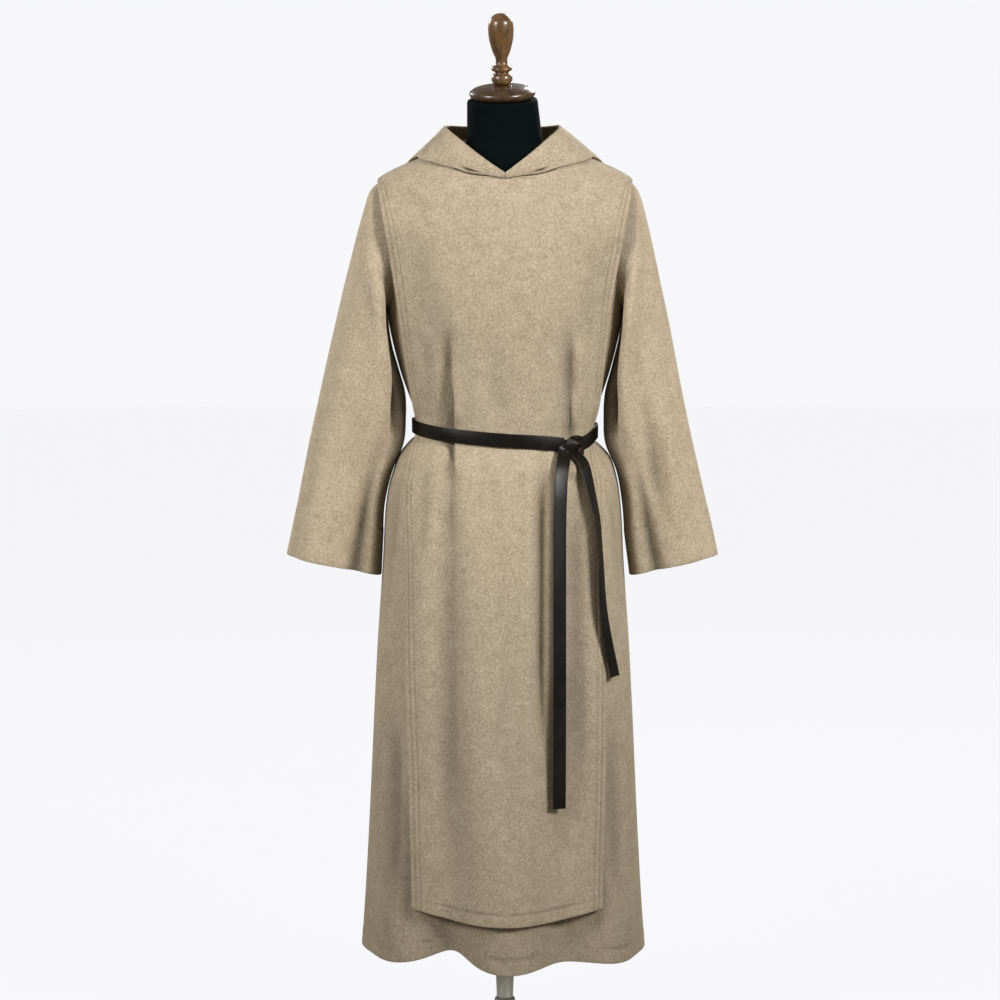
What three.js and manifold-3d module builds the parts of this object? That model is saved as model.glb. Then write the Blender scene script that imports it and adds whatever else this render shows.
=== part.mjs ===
// Monk habit on a dress form: a long tunic with wide sleeves, a hooded scapular over it and a
// narrow leather belt knotted at the waist. Millimetres, +Z up. The wearer faces -Y, so +X is
// the wearer's left. The origin is the centre of the base's underside, on the floor.

import * as THREE from "three";
import { mergeVertices } from "three/addons/utils/BufferGeometryUtils.js";
import Module from "manifold-3d";

const { clamp, lerp, smoothstep, degToRad } = THREE.MathUtils;
const wasm = await Module();
wasm.setup();

// ---------------------------------------------------------------- driving dimensions

const TUNIC_CLOTH = 2.2; // heavy wool, with its nap
const SCAPULAR_CLOTH = 2.5;
const HOOD_CLOTH = 2.4;
const SEAM_GAP = 0.3; // between two pieces sewn edge to edge
const ARMHOLE_GAP = 0.5; // a little more, because the armhole bends sharply
const REST_GAP = 0.5; // between cloth and what carries it
const SHOULDER_TIP = 1536; // height of the shoulder point
const UNDERARM = 1302;
const ARMHOLE_HALF_DEPTH = 62;
const WAIST = 1102; // height that the waist's sections are given for
const BELT_WIDTH = 24;
const BELT_THICKNESS = 2.6;
const POLE_RADIUS = 14.5;
const FORM_BOTTOM = 800;
const HUB_TOP = 89;
const NECK_TOP = 1676;
const CAP_TILT = degToRad(11); // the neck is cut on a slope, lower at the front
const CAP_LEAN = degToRad(-1.4); // and the cap leans a little to the wearer's right
const NECK_SHIFT = -4.5; // how far the neck's top lies to that side
const ACROSS = 16; // facets across each panel, and round each sleeve

// Turns rows of numbers into records with these column names.
const table = (columns, rows) =>
  rows.map((row) => Object.fromEntries(columns.map((name, i) => [name, row[i]])));

// Horizontal sections of the tunic's inner face, from the neck down: half its width, and how
// far it reaches in front of and behind the neck's axis.
const BODY = table(
  ["height", "halfWidth", "front", "back"],
  [
    [1690, 60.5, 60.5, 60.5],
    [1640, 63.5, 63.5, 64],
    [1610, 66, 66, 67],
    [1596, 72, 69, 71],
    [1582, 110, 75, 79],
    [1565, 156, 82, 87],
    [1550, 190, 89, 95],
    [1536, 214, 95, 101],
    [1502, 218, 106, 112],
    [1460, 216, 117, 120],
    [1400, 210, 126, 126],
    [1335, 204, 130, 126],
    [1285, 199, 128, 121],
    [1210, 181, 122, 111],
    [1148, 161, 116, 104],
    [1116, 152.5, 112, 101],
    [1088, 152.5, 112, 101],
    [1074, 166, 118, 109],
    [1056, 182, 127, 120],
    [1030, 193, 135, 130],
    [1000, 201, 142, 139],
    [957, 206, 148, 147],
    [880, 210, 157, 155],
    [715, 220, 165, 164],
    [520, 230, 171, 172],
    [300, 242, 177, 180],
    [170, 251, 182, 186],
  ],
);

// Height of the neckline round the neck, from the front (0 degrees) to the back (180).
const NECKLINE = table(
  ["angle", "height"],
  [
    [0, 1541],
    [15, 1543],
    [30, 1555],
    [50, 1575],
    [70, 1589],
    [90, 1596],
    [135, 1602],
    [180, 1604],
  ],
);

// Soft folds of the skirt. Each runs down at its angle, starts at `top`, is fully deep at
// `full`, and lifts the hem by `hemRise`. A positive depth is a ridge, a negative one a trough.
const FOLD_COLUMNS = ["angle", "spread", "depth", "top", "full", "hemRise"];
const TUNIC_FOLDS = table(FOLD_COLUMNS, [
  [0, 14, 20, 760, 240, -8],
  [-24, 12, -26, 820, 240, 23],
  [26, 12, -22, 820, 240, 3],
  [-50, 13, 10, 700, 240, -3],
  [52, 13, 8, 700, 240, -6],
  [-90, 22, 2, 1060, 960, 0],
  [88, 24, -4, 1075, 985, -3],
  [122, 15, 10, 760, 240, -4],
  [150, 13, -20, 820, 240, 12],
  [180, 17, 14, 800, 240, -6],
  [-150, 13, -22, 820, 240, 14],
  [-121, 15, 12, 760, 240, -4],
]);
const SCAPULAR_FOLDS = table(FOLD_COLUMNS, [
  [0, 16, 20, 800, 250, 0],
  [-26, 12, -9, 960, 420, 0],
  [25, 12, -7, 900, 420, 0],
  [180, 18, 14, 820, 250, 0],
  [152, 13, -7, 960, 420, 0],
  [-150, 13, -8, 940, 420, 0],
]);
const TUNIC_HEM = 190;

// Horizontal sections of the scapular's inner face, and how far its two edges lie from the
// middle line.
const SCAPULAR = table(
  ["height", "halfWidth", "front", "back", "rightEdge", "leftEdge"],
  [
    [1526, 227, 104, 110, 217, 216],
    [1503, 247, 113, 118, 214, 213],
    [1460, 265, 124, 127, 206, 204],
    [1417, 246, 131, 132, 198, 197],
    [1332, 222, 137, 132, 185, 183],
    [1246, 199, 131, 121, 173, 173],
    [1160, 174, 122, 110, 161, 163],
    [1116, 157, 116.5, 105.5, 154, 153],
    [1088, 157, 116.5, 105.5, 154, 152],
    [1074, 172, 124, 115, 160, 157],
    [1056, 189, 134, 127, 166, 162],
    [1030, 201, 142, 138, 171, 167],
    [990, 209, 151, 149, 174, 170],
    [887, 217, 165, 163, 170, 170],
    [700, 229, 175, 175, 167, 170],
    [480, 239, 181, 183, 164, 170],
    [268, 250, 188, 193, 162, 169],
  ],
);
const SCAPULAR_HEM = 268;
const SCAPULAR_CORNER_RISE = 18; // the hem is cut in a shallow curve

// Ridges beside the tucks that the belt pinches into the scapular. Each starts at the belt's
// edges and fades at its reach above and below it.
const TUCKS = table(
  ["across", "spread", "depth", "above", "below"],
  [
    [-84, 11, 9, 125, 80],
    [112, 9, 8, 120, 60],
  ],
);

// Sections of the sleeves: the height and the distance from the middle line of the outer and
// of the inner fold, for the wearer's right and left arm, and half the front-to-back depth.
const SLEEVE = table(
  [
    "outerHeight",
    "innerHeight",
    "rightOuter",
    "rightInner",
    "leftOuter",
    "leftInner",
    "halfDepth",
  ],
  [
    [1518, 1285, 233, 208, 230, 208, 67],
    [1490, 1262, 243, 205, 240, 205, 70],
    [1450, 1235, 255, 199, 250, 199, 71],
    [1407, 1203, 266, 189, 260, 189, 68],
    [1355, 1166, 279, 179, 271, 179, 64],
    [1300, 1125, 292, 178, 283, 177, 60],
    [1240, 1080, 306, 182, 295, 180, 57],
    [1170, 1030, 322, 197, 309, 196, 54],
    [1090, 975, 340, 211, 326, 208, 51],
    [1000, 918, 359, 217, 347, 213, 49],
    [886, 850, 383, 221, 372, 221, 48],
  ],
);
// Creases of the sleeves: `turn` is the angle round the sleeve, 0 at the outer fold and 90 at
// the front, and `from` and `to` are section numbers.
const SLEEVE_FOLDS = table(
  ["side", "turn", "spread", "depth", "from", "to"],
  [
    [-1, 128, 20, -9, 4, 11],
    [-1, 70, 26, 4, 3, 11],
    [1, 100, 16, -10, 4, 11],
    [1, 132, 15, 6, 4, 11],
    [-1, 112, 22, -6, 0, 5],
    [1, 112, 22, -6, 0, 5],
    [-1, 250, 22, -8, 3, 11],
    [1, 255, 22, -8, 3, 11],
  ],
);

// The lowered hood, section by section round the neck. From the neck seam at `angle` it lies on
// the shoulders as far as a fold, found by its angle and height on the body and lifted off it,
// and comes back up to the rim, found round the neck's axis. `puff` swells its outer layer.
const HOOD = table(
  [
    "angle",
    "foldAngle",
    "foldHeight",
    "foldLift",
    "rimAngle",
    "rimRadius",
    "rimHeight",
    "puff",
  ],
  [
    [0, 0, 1534, 7, 0, 105, 1549, 1],
    [15, 16, 1543, 8, 24, 102, 1579, 3],
    [30, 32, 1554, 9, 48, 102, 1606, 4],
    [50, 56, 1567, 9, 69, 106, 1623, 3],
    [70, 79, 1571, 8, 86, 107, 1629, 2],
    [90, 99, 1565, 9, 99, 106, 1630, 1],
    [120, 132, 1528, 13, 125, 105, 1630, 8],
    [150, 156, 1430, 18, 152, 104, 1629, 34],
    [180, 180, 1355, 20, 180, 103, 1628, 42],
  ],
);
const HOOD_STEPS = 14; // facets from the neck seam to the rim

// Horizontal sections of the dress form below its shoulders.
const FORM = table(
  ["height", "halfWidth", "front", "back"],
  [
    [1536, 211, 93, 99],
    [1502, 206, 100, 107],
    [1460, 196, 110, 113],
    [1400, 184, 118, 117],
    [1340, 176, 120, 115],
    [1290, 170, 116, 110],
    [1210, 156, 106, 100],
    [1140, 145, 100, 94],
    [1096, 141, 98, 91],
    [1050, 147, 101, 97],
    [990, 158, 108, 108],
    [920, 168, 114, 118],
    [860, 168, 112, 118],
    [800, 160, 106, 110],
  ],
);

// The belt's middle line round the waist, by the angle from the front. It dips to the knot.
const BELT_LINE = table(
  ["angle", "height"],
  [
    [-180, 1104],
    [-90, 1112],
    [-45, 1103.5],
    [0, 1094],
    [25, 1089.5],
    [46, 1083],
    [60, 1087],
    [78, 1100],
    [100, 1103],
    [180, 1104],
  ],
);
const KNOT_ANGLE = degToRad(46);
const KNOT_HALF_WIDTH = 18.3;

// Courses of the two straps that make the knot, from its middle: along the waist, off the
// scapular, and up. The first crosses over from the left and turns down, and the second comes
// through from the right and goes on under it.
const KNOT_COLUMNS = ["along", "off", "up"];
const KNOT_OVER = table(KNOT_COLUMNS, [
  [16.5, 5.5, 5],
  [12, 9, 9],
  [2, 12, 11],
  [-8, 12, 7],
  [-13, 10, -1],
  [-14, 10, -11],
]);
const KNOT_UNDER = table(KNOT_COLUMNS, [
  [-16.5, 5.5, 1],
  [-9, 5, 0],
  [2, 6, -1],
  [10, 10, 2],
  [13, 14, 0],
  [13, 12, -7],
  [11, 9, -12],
]);

// Middle lines of the belt's two ends: where each is, how far it stands off the scapular, and
// how far it has turned about its own length.
const TAIL_COLUMNS = ["height", "across", "off", "turn"];
const LONG_TAIL = table(TAIL_COLUMNS, [
  [1064.9, 105.8, 6.9, 0],
  [1040, 93, 14, 0],
  [1000, 89, 14, 0],
  [940, 88, 12, 0],
  [840, 88, 12, 0],
  [700, 88, 14, 0],
  [580, 88, 13, 0],
  [468, 88, 11, 0],
]);
const SHORT_TAIL = table(TAIL_COLUMNS, [
  [1063.2, 130, 3.3, -8],
  [1040, 132, 11, -14],
  [1005, 139, 12, -26],
  [960, 148, 13, -46],
  [893, 153, 14, -52],
  [807, 158, 13, -34],
  [739, 169, 11, -16],
  [689, 180, 10, -8],
]);

// ---------------------------------------------------------------- curves and surfaces

// A column's value at a place along a table, on a smooth curve through its rows.
function along(rows, key, at, column) {
  const direction = Math.sign(rows[1][key] - rows[0][key]);
  let i = 0;
  while (i < rows.length - 2 && direction * at > direction * rows[i + 1][key]) i += 1;
  const [start, end] = [rows[i], rows[i + 1]];
  const before = rows[Math.max(i - 1, 0)];
  const after = rows[Math.min(i + 2, rows.length - 1)];
  const span = end[key] - start[key];
  const t = clamp((at - start[key]) / span, 0, 1);
  const leaving = ((end[column] - before[column]) / (end[key] - before[key])) * span;
  const arriving = ((after[column] - start[column]) / (after[key] - start[key])) * span;
  return (
    start[column] * (2 * t ** 3 - 3 * t ** 2 + 1) +
    leaving * (t ** 3 - 2 * t ** 2 + t) +
    end[column] * (3 * t ** 2 - 2 * t ** 3) +
    arriving * (t ** 3 - t ** 2)
  );
}

const bell = (distance, spread) => Math.exp(-((distance / spread) ** 2));
const turnsApart = (a, b) => Math.atan2(Math.sin(a - b), Math.cos(a - b));

function beltMiddle(angle) {
  return along(BELT_LINE, "angle", turnsApart(angle, 0) / degToRad(1), "height");
}

// The waist follows the belt as it dips and rises, so sections near it shift with it.
const WAIST_REACH = 60;
const dipped = (section, angle) =>
  section - (WAIST - beltMiddle(angle)) * bell(section - WAIST, WAIST_REACH);

function sectionAt(angle, height) {
  let section = height;
  for (let i = 0; i < 4; i += 1) section += height - dipped(section, angle);
  return section;
}

// A point on a horizontal section. Angle 0 is the front and a quarter turn is the +X side.
function ring(rows, angle, height) {
  const section = sectionAt(angle, height);
  const halfWidth = along(rows, "height", section, "halfWidth");
  const depth = along(rows, "height", section, Math.cos(angle) > 0 ? "front" : "back");
  return new THREE.Vector3(halfWidth * Math.sin(angle), -depth * Math.cos(angle), height);
}

// How far the folds push the cloth outwards.
function foldDepth(folds, angle, height) {
  return folds.reduce((sum, fold) => {
    const share = 1 - smoothstep(height, fold.full, fold.top);
    const away = turnsApart(angle, degToRad(fold.angle));
    return sum + fold.depth * share * bell(away, degToRad(fold.spread));
  }, 0);
}

function hemHeight(angle) {
  return TUNIC_FOLDS.reduce((sum, fold) => {
    const away = turnsApart(angle, degToRad(fold.angle));
    return sum + fold.hemRise * bell(away, degToRad(fold.spread));
  }, TUNIC_HEM);
}

function necklineHeight(angle) {
  return along(NECKLINE, "angle", Math.abs(turnsApart(angle, 0)) / degToRad(1), "height");
}

function pushedOut(point, angle, distance) {
  return point.add(new THREE.Vector3(Math.sin(angle), -Math.cos(angle), 0).multiplyScalar(distance));
}

const tunicInner = (angle, height) =>
  pushedOut(ring(BODY, angle, height), angle, foldDepth(TUNIC_FOLDS, angle, height));

// The outward normal of a surface given by angle and height.
function outward(surface, angle, height) {
  const turn = 0.01;
  const rise = 1;
  const across = surface(angle + turn, height).sub(surface(angle - turn, height));
  const down = surface(angle, height - rise).sub(surface(angle, height + rise));
  return down.cross(across).normalize();
}

const offset = (surface, angle, height, distance) =>
  surface(angle, height).addScaledVector(outward(surface, angle, height), distance);

// The height of a row of a panel. Rows above the shoulder tips crowd together under the
// neckline, which is lower at the front, and rows near the waist dip with the belt.
const TOP_ROW = 1604;
function crowded(row, angle) {
  if (row <= SHOULDER_TIP) return dipped(row, angle);
  const share = (row - SHOULDER_TIP) / (TOP_ROW - SHOULDER_TIP);
  return lerp(SHOULDER_TIP, necklineHeight(angle), share);
}

// ---------------------------------------------------------------- solids

// One closed wall between two grids of points, rows by columns. A closed wall's last column
// joins its first.
function wall(inner, outer, closed = false) {
  const rows = inner.length;
  const columns = inner[0].length;
  const vertices = [inner, outer].flat(2).flatMap((p) => p.toArray());
  const id = (layer, r, c) => (layer * rows + r) * columns + (c % columns);
  const faces = [];
  const quad = (a, b, c, d) => faces.push(a, b, c, a, c, d);
  const last = closed ? columns : columns - 1;
  for (let r = 0; r < rows - 1; r += 1)
    for (let c = 0; c < last; c += 1) {
      quad(id(1, r, c), id(1, r + 1, c), id(1, r + 1, c + 1), id(1, r, c + 1));
      quad(id(0, r, c), id(0, r, c + 1), id(0, r + 1, c + 1), id(0, r + 1, c));
    }
  for (let c = 0; c < last; c += 1) {
    quad(id(0, 0, c), id(1, 0, c), id(1, 0, c + 1), id(0, 0, c + 1));
    quad(id(0, rows - 1, c + 1), id(1, rows - 1, c + 1), id(1, rows - 1, c), id(0, rows - 1, c));
  }
  if (!closed)
    for (let r = 0; r < rows - 1; r += 1) {
      quad(id(0, r + 1, 0), id(1, r + 1, 0), id(1, r, 0), id(0, r, 0));
      quad(id(0, r, last), id(1, r, last), id(1, r + 1, last), id(0, r + 1, last));
    }
  const geometry = new THREE.BufferGeometry();
  geometry.setAttribute("position", new THREE.Float32BufferAttribute(vertices, 3));
  return geometry.setIndex(faces);
}

// A closed skin round a stack of rings, with a flat or fanned face at each end.
function capped(rings) {
  const columns = rings[0].length;
  const middle = (points) =>
    points.reduce((sum, p) => sum.add(p), new THREE.Vector3()).divideScalar(columns);
  const vertices = [...rings.flat(), middle(rings[0]), middle(rings[rings.length - 1])];
  const top = rings.length * columns;
  const faces = [];
  for (let c = 0; c < columns; c += 1) {
    const next = (c + 1) % columns;
    for (let r = 0; r < rings.length - 1; r += 1) {
      const [a, b] = [r * columns + c, r * columns + next];
      faces.push(a, a + columns, b + columns, a, b + columns, b);
    }
    faces.push(top, c, next);
    faces.push(top + 1, top - columns + next, top - columns + c);
  }
  const geometry = new THREE.BufferGeometry();
  const positions = vertices.flatMap((p) => p.toArray());
  geometry.setAttribute("position", new THREE.Float32BufferAttribute(positions, 3));
  return geometry.setIndex(faces);
}

// Joins closed geometries into one solid.
function joined(geometries) {
  const solids = geometries.map((source) => {
    const bare = source.index ? source.toNonIndexed() : source.clone();
    bare.deleteAttribute("normal");
    bare.deleteAttribute("uv");
    const merged = mergeVertices(bare, 1e-3);
    return new wasm.Manifold(
      new wasm.Mesh({
        numProp: 3,
        vertProperties: merged.attributes.position.array,
        triVerts: new Uint32Array(merged.index.array),
      }),
    );
  });
  const mesh = solids.reduce((sum, solid) => sum.add(solid)).getMesh();
  const geometry = new THREE.BufferGeometry();
  geometry.setAttribute("position", new THREE.BufferAttribute(mesh.vertProperties, 3));
  return geometry.setIndex(new THREE.BufferAttribute(mesh.triVerts, 1));
}

const wool = new THREE.MeshStandardMaterial({ color: 0xbba98a, roughness: 0.95 });
const leather = new THREE.MeshStandardMaterial({ color: 0x2c2723, roughness: 0.45 });
const blackCloth = new THREE.MeshStandardMaterial({ color: 0x0d1214, roughness: 0.9 });
const walnut = new THREE.MeshStandardMaterial({ color: 0x5a3d22, roughness: 0.35 });
const steel = new THREE.MeshStandardMaterial({ color: 0x8c8c80, roughness: 0.35, metalness: 0.9 });

const habit = new THREE.Group();
function add(name, geometry, material) {
  const mesh = new THREE.Mesh(geometry, material);
  mesh.name = name;
  habit.add(mesh);
  return mesh;
}

// ---------------------------------------------------------------- tunic

// The armhole is an upright oval. Its rows step round it by equal turns.
const ARMHOLE_STEPS = ACROSS / 2;
const armholeRows = Array.from({ length: ARMHOLE_STEPS + 1 }, (_, i) => {
  const turn = (Math.PI * i) / ARMHOLE_STEPS;
  return lerp(SHOULDER_TIP, UNDERARM, (1 - Math.cos(turn)) / 2);
});
const SHOULDER_ROWS = [1604, 1591, 1577, 1563, 1549];
const SKIRT_ROWS = [
  ...[1260, 1205, 1150, 1116, 1102, 1088, 1074, 1056, 1030, 995],
  ...[930, 830, 715, 590, 460, 330],
];
const TUNIC_ROWS = [...SHOULDER_ROWS, ...armholeRows, ...SKIRT_ROWS];

// Angle from the front centre to the panel's side edge, half a seam gap short of the side.
function tunicEdge(height, depthColumn) {
  const depth = along(BODY, "height", height, depthColumn);
  const middle = (SHOULDER_TIP + UNDERARM) / 2;
  const share = clamp((height - middle) / (SHOULDER_TIP - middle), -1, 1);
  const opening = ARMHOLE_HALF_DEPTH * Math.sqrt(1 - share ** 2);
  return Math.acos(clamp(Math.max(opening, SEAM_GAP / 2) / depth, 0, 1));
}

function tunicPanel(facing) {
  const grid = (distance) =>
    [...TUNIC_ROWS, "hem"].map((row) =>
      Array.from({ length: ACROSS + 1 }, (_, i) => {
        const u = (2 * i) / ACROSS - 1;
        const side = row === "hem" ? TUNIC_HEM : row;
        const sidewards = u * tunicEdge(side, facing);
        const angle = facing === "front" ? sidewards : Math.PI + sidewards;
        const height = row === "hem" ? hemHeight(angle) : crowded(row, angle);
        return offset(tunicInner, angle, height, distance);
      }),
    );
  return wall(grid(0), grid(TUNIC_CLOTH));
}
add("tunic_front", tunicPanel("front"), wool);
add("tunic_back", tunicPanel("back"), wool);

// ---------------------------------------------------------------- sleeves

// The armhole's edge as a loop from the shoulder tip, down the front and up the back, on the
// tunic's inner and outer faces, moved off the tunic's edge by a seam gap.
function armholeLoop(side) {
  const front = armholeRows.slice(1, -1).map((row) => [side * tunicEdge(row, "front"), row]);
  const back = armholeRows
    .slice(1, -1)
    .reverse()
    .map((row) => [side * (Math.PI - tunicEdge(row, "back")), row]);
  const tip = [(side * Math.PI) / 2, SHOULDER_TIP];
  const pit = [(side * Math.PI) / 2, UNDERARM];
  const places = [tip, ...front, pit, ...back];
  const points = places.map(([angle, height]) => tunicInner(angle, height));
  return places.map(([angle, height], i) => {
    const normal = outward(tunicInner, angle, height);
    const following = points[(i + 1) % points.length];
    const previous = points[(i + points.length - 1) % points.length];
    const run = following.clone().sub(previous).normalize();
    const off = normal.clone().cross(run).multiplyScalar(side).normalize();
    const inner = points[i].clone().addScaledVector(off, ARMHOLE_GAP);
    const outer = inner.clone().addScaledVector(normal, TUNIC_CLOTH);
    const lift = (3 * i * (places.length - i)) / (places.length / 2) ** 2;
    return { inner, outer, led: outer.clone().addScaledVector(off, 5).addScaledVector(normal, lift) };
  });
}

function sleeveOuter(side, section, turn) {
  const row = SLEEVE[section];
  const [outerX, innerX] =
    side < 0 ? [row.rightOuter, row.rightInner] : [row.leftOuter, row.leftInner];
  const crease = SLEEVE_FOLDS.filter((fold) => fold.side === side).reduce((sum, fold) => {
    const middle = (fold.from + fold.to) / 2;
    const reach = fold.to > SLEEVE.length - 1 ? fold.to - fold.from : (fold.to - fold.from) / 2;
    const place = fold.to > SLEEVE.length - 1 ? fold.to : middle;
    const share = Math.max(0, 1 - (Math.abs(section - place) / reach) ** 2);
    const away = turnsApart(turn, degToRad(fold.turn));
    return sum + fold.depth * share * bell(away, degToRad(fold.spread));
  }, 0);
  const across = lerp(innerX, outerX, (1 + Math.cos(turn)) / 2);
  const height = lerp(row.innerHeight, row.outerHeight, (1 + Math.cos(turn)) / 2);
  const depth = -(row.halfDepth + crease) * Math.sin(turn);
  return new THREE.Vector3(side * across, depth, height);
}

function sleeve(side) {
  const loop = armholeLoop(side);
  const turns = loop.map((_, i) => (2 * Math.PI * i) / loop.length);
  const outer = [loop.map((place) => place.outer), loop.map((place) => place.led)];
  SLEEVE.forEach((_, section) => outer.push(turns.map((turn) => sleeveOuter(side, section, turn))));
  const inner = outer.map((points, r) =>
    points.map((point, c) => {
      if (r === 0) return loop[c].inner;
      const before = outer[r - 1][c];
      const after = outer[Math.min(r + 1, outer.length - 1)][c];
      const down = after.clone().sub(before);
      const next = points[(c + 1) % points.length];
      const previous = points[(c + points.length - 1) % points.length];
      const normal = next.clone().sub(previous).cross(down).multiplyScalar(side).normalize();
      return point.clone().addScaledVector(normal, -TUNIC_CLOTH);
    }),
  );
  return side < 0 ? wall(inner, outer, true) : wall(inner.map(reversed), outer.map(reversed), true);
}
const reversed = (points) => [...points].reverse();
add("sleeve_right", sleeve(-1), wool);
add("sleeve_left", sleeve(1), wool);

// ---------------------------------------------------------------- scapular

const SCAPULAR_ROWS = [
  ...SHOULDER_ROWS,
  SHOULDER_TIP,
  ...[1526, 1503, 1460, 1410, 1335],
  ...SKIRT_ROWS.slice(0, -1),
  400,
];

function tuckDepth(across, aboveBelt) {
  const distance = Math.abs(aboveBelt);
  return TUCKS.reduce((sum, tuck) => {
    const reach = aboveBelt > 0 ? tuck.above : tuck.below;
    const share = smoothstep(distance, 16, 42) * (1 - smoothstep(distance, 42, reach));
    return sum + tuck.depth * share * bell(across - tuck.across, tuck.spread);
  }, 0);
}

// The scapular's inner face where it hangs below the shoulders.
function scapularHung(angle, height) {
  const point = ring(SCAPULAR, angle, height);
  const tuck = Math.cos(angle) > 0 ? tuckDepth(point.x, height - beltMiddle(angle)) : 0;
  return pushedOut(point, angle, foldDepth(SCAPULAR_FOLDS, angle, height) + tuck);
}

// A point of the scapular at column u, from -1 at the wearer's right to 1. On top of the
// shoulders it lies on the tunic, and below them it hangs on its own sections.
function scapularPoint(u, row, facing, distance) {
  const facingAngle = (sideways) => (facing === "front" ? sideways : Math.PI - sideways);
  if (row >= SHOULDER_TIP) {
    const angle = facingAngle(u * tunicEdge(row, facing));
    return offset(tunicInner, angle, crowded(row, angle), TUNIC_CLOTH + REST_GAP + distance);
  }
  const edge = along(SCAPULAR, "height", row, u < 0 ? "rightEdge" : "leftEdge");
  const halfWidth = along(SCAPULAR, "height", row, "halfWidth");
  const angle = facingAngle(u * Math.asin(edge / halfWidth));
  return offset(scapularHung, angle, crowded(row, angle), distance);
}

function scapularHem(u) {
  return SCAPULAR_HEM + SCAPULAR_CORNER_RISE * u ** 2;
}

function scapularPanel(facing) {
  const grid = (lift) =>
    [...SCAPULAR_ROWS, "hem"].map((row) =>
      Array.from({ length: ACROSS + 1 }, (_, i) => {
        const u = (2 * i) / ACROSS - 1;
        const height = row === "hem" ? scapularHem(u) : row;
        return scapularPoint(u, height, facing, lift);
      }),
    );
  const [inner, outer] = [grid(0), grid(SCAPULAR_CLOTH)];
  return facing === "front"
    ? wall(inner, outer)
    : wall(inner.map(reversed), outer.map(reversed));
}
add("scapular_front", scapularPanel("front"), wool);
add("scapular_back", scapularPanel("back"), wool);

// ---------------------------------------------------------------- hood

const OVER_TUNIC = TUNIC_CLOTH + REST_GAP + SCAPULAR_CLOTH;

// One section of the hood: its outer face from the neck seam round the fold and up to the rim.
function hoodSection(degrees) {
  const at = (column) => along(HOOD, "angle", degrees, column);
  const seamAngle = degToRad(degrees);
  const foldAngle = degToRad(at("foldAngle"));
  const seamHeight = crowded(TOP_ROW, seamAngle);
  const seam = offset(tunicInner, seamAngle, seamHeight, OVER_TUNIC + 2 * REST_GAP);
  const fold = offset(tunicInner, foldAngle, at("foldHeight"), OVER_TUNIC + at("foldLift"));
  const under = [0.25, 0.5, 0.75].map((share) => {
    const lift = lerp(2 * REST_GAP, at("foldLift"), share ** 1.2);
    const angle = lerp(seamAngle, foldAngle, share);
    return offset(tunicInner, angle, lerp(seamHeight, at("foldHeight"), share), OVER_TUNIC + lift);
  });
  const rimAngle = degToRad(at("rimAngle"));
  const rim = new THREE.Vector3(Math.sin(rimAngle), -Math.cos(rimAngle), 0);
  rim.multiplyScalar(at("rimRadius")).setZ(at("rimHeight"));
  const over = fold.clone().lerp(rim, 0.5);
  const swell = new THREE.Vector3(over.x, over.y, 0).normalize().setZ(0.5).normalize();
  over.addScaledVector(swell, at("puff"));
  const curve = new THREE.CatmullRomCurve3([seam, ...under, fold, over, rim], false, "centripetal");
  return curve.getPoints(HOOD_STEPS);
}

function hoodHalf(side) {
  const sections = Array.from({ length: ACROSS + 1 }, (_, i) => hoodSection((180 * i) / ACROSS));
  const outer = Array.from({ length: HOOD_STEPS + 1 }, (_, r) => sections.map((s) => s[r]));
  const inner = outer.map((points, r) =>
    points.map((point, c) => {
      const next = points[Math.min(c + 1, ACROSS)];
      const previous = points[Math.max(c - 1, 0)];
      const up = outer[Math.min(r + 1, HOOD_STEPS)][c].clone().sub(outer[Math.max(r - 1, 0)][c]);
      const normal = next.clone().sub(previous).cross(up).normalize();
      if (c === 0 || c === ACROSS) normal.setX(0).normalize();
      return point.clone().addScaledVector(normal, -HOOD_CLOTH);
    }),
  );
  const placed = (grid) =>
    grid.map((points) =>
      points.map((p) => new THREE.Vector3(side * Math.max(p.x, SEAM_GAP / 2), p.y, p.z)),
    );
  const [near, far] = [placed(inner), placed(outer)];
  return side > 0 ? wall(near.map(reversed), far.map(reversed)) : wall(near, far);
}
add("hood_right", hoodHalf(-1), wool);
add("hood_left", hoodHalf(1), wool);

// ---------------------------------------------------------------- belt

const BELT_STEPS = 56;
const BELT_CLEARANCE = 1.2; // from the scapular's outer face

// The band runs round the waist from one side of the knot to the other.
function beltBand() {
  const gap = (KNOT_HALF_WIDTH + SEAM_GAP) / 138;
  const place = (i) => lerp(KNOT_ANGLE + gap, KNOT_ANGLE + 2 * Math.PI - gap, i / BELT_STEPS);
  const grid = (thickness) =>
    [BELT_WIDTH / 2, 0, -BELT_WIDTH / 2].map((rise) =>
      Array.from({ length: BELT_STEPS + 1 }, (_, i) => {
        const height = beltMiddle(place(i)) + rise;
        const reach = SCAPULAR_CLOTH + BELT_CLEARANCE + thickness;
        return offset(scapularHung, place(i), height, reach);
      }),
    );
  return wall(grid(0), grid(BELT_THICKNESS));
}
add("belt_band", beltBand(), leather);

// A flat strap along middle points, with the direction of its width at each point.
function strap(middles, widths, width, thickness) {
  const rings = middles.map((middle, i) => {
    const before = middles[Math.max(i - 1, 0)];
    const after = middles[Math.min(i + 1, middles.length - 1)];
    const run = after.clone().sub(before).normalize();
    const across = widths[i].clone().addScaledVector(run, -widths[i].dot(run)).normalize();
    const face = run.clone().cross(across).normalize();
    return [
      [1, 1],
      [1, -1],
      [-1, -1],
      [-1, 1],
    ].map(([a, f]) =>
      middle
        .clone()
        .addScaledVector(across, (a * width) / 2)
        .addScaledVector(face, (f * thickness) / 2),
    );
  });
  return capped(rings);
}

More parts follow.
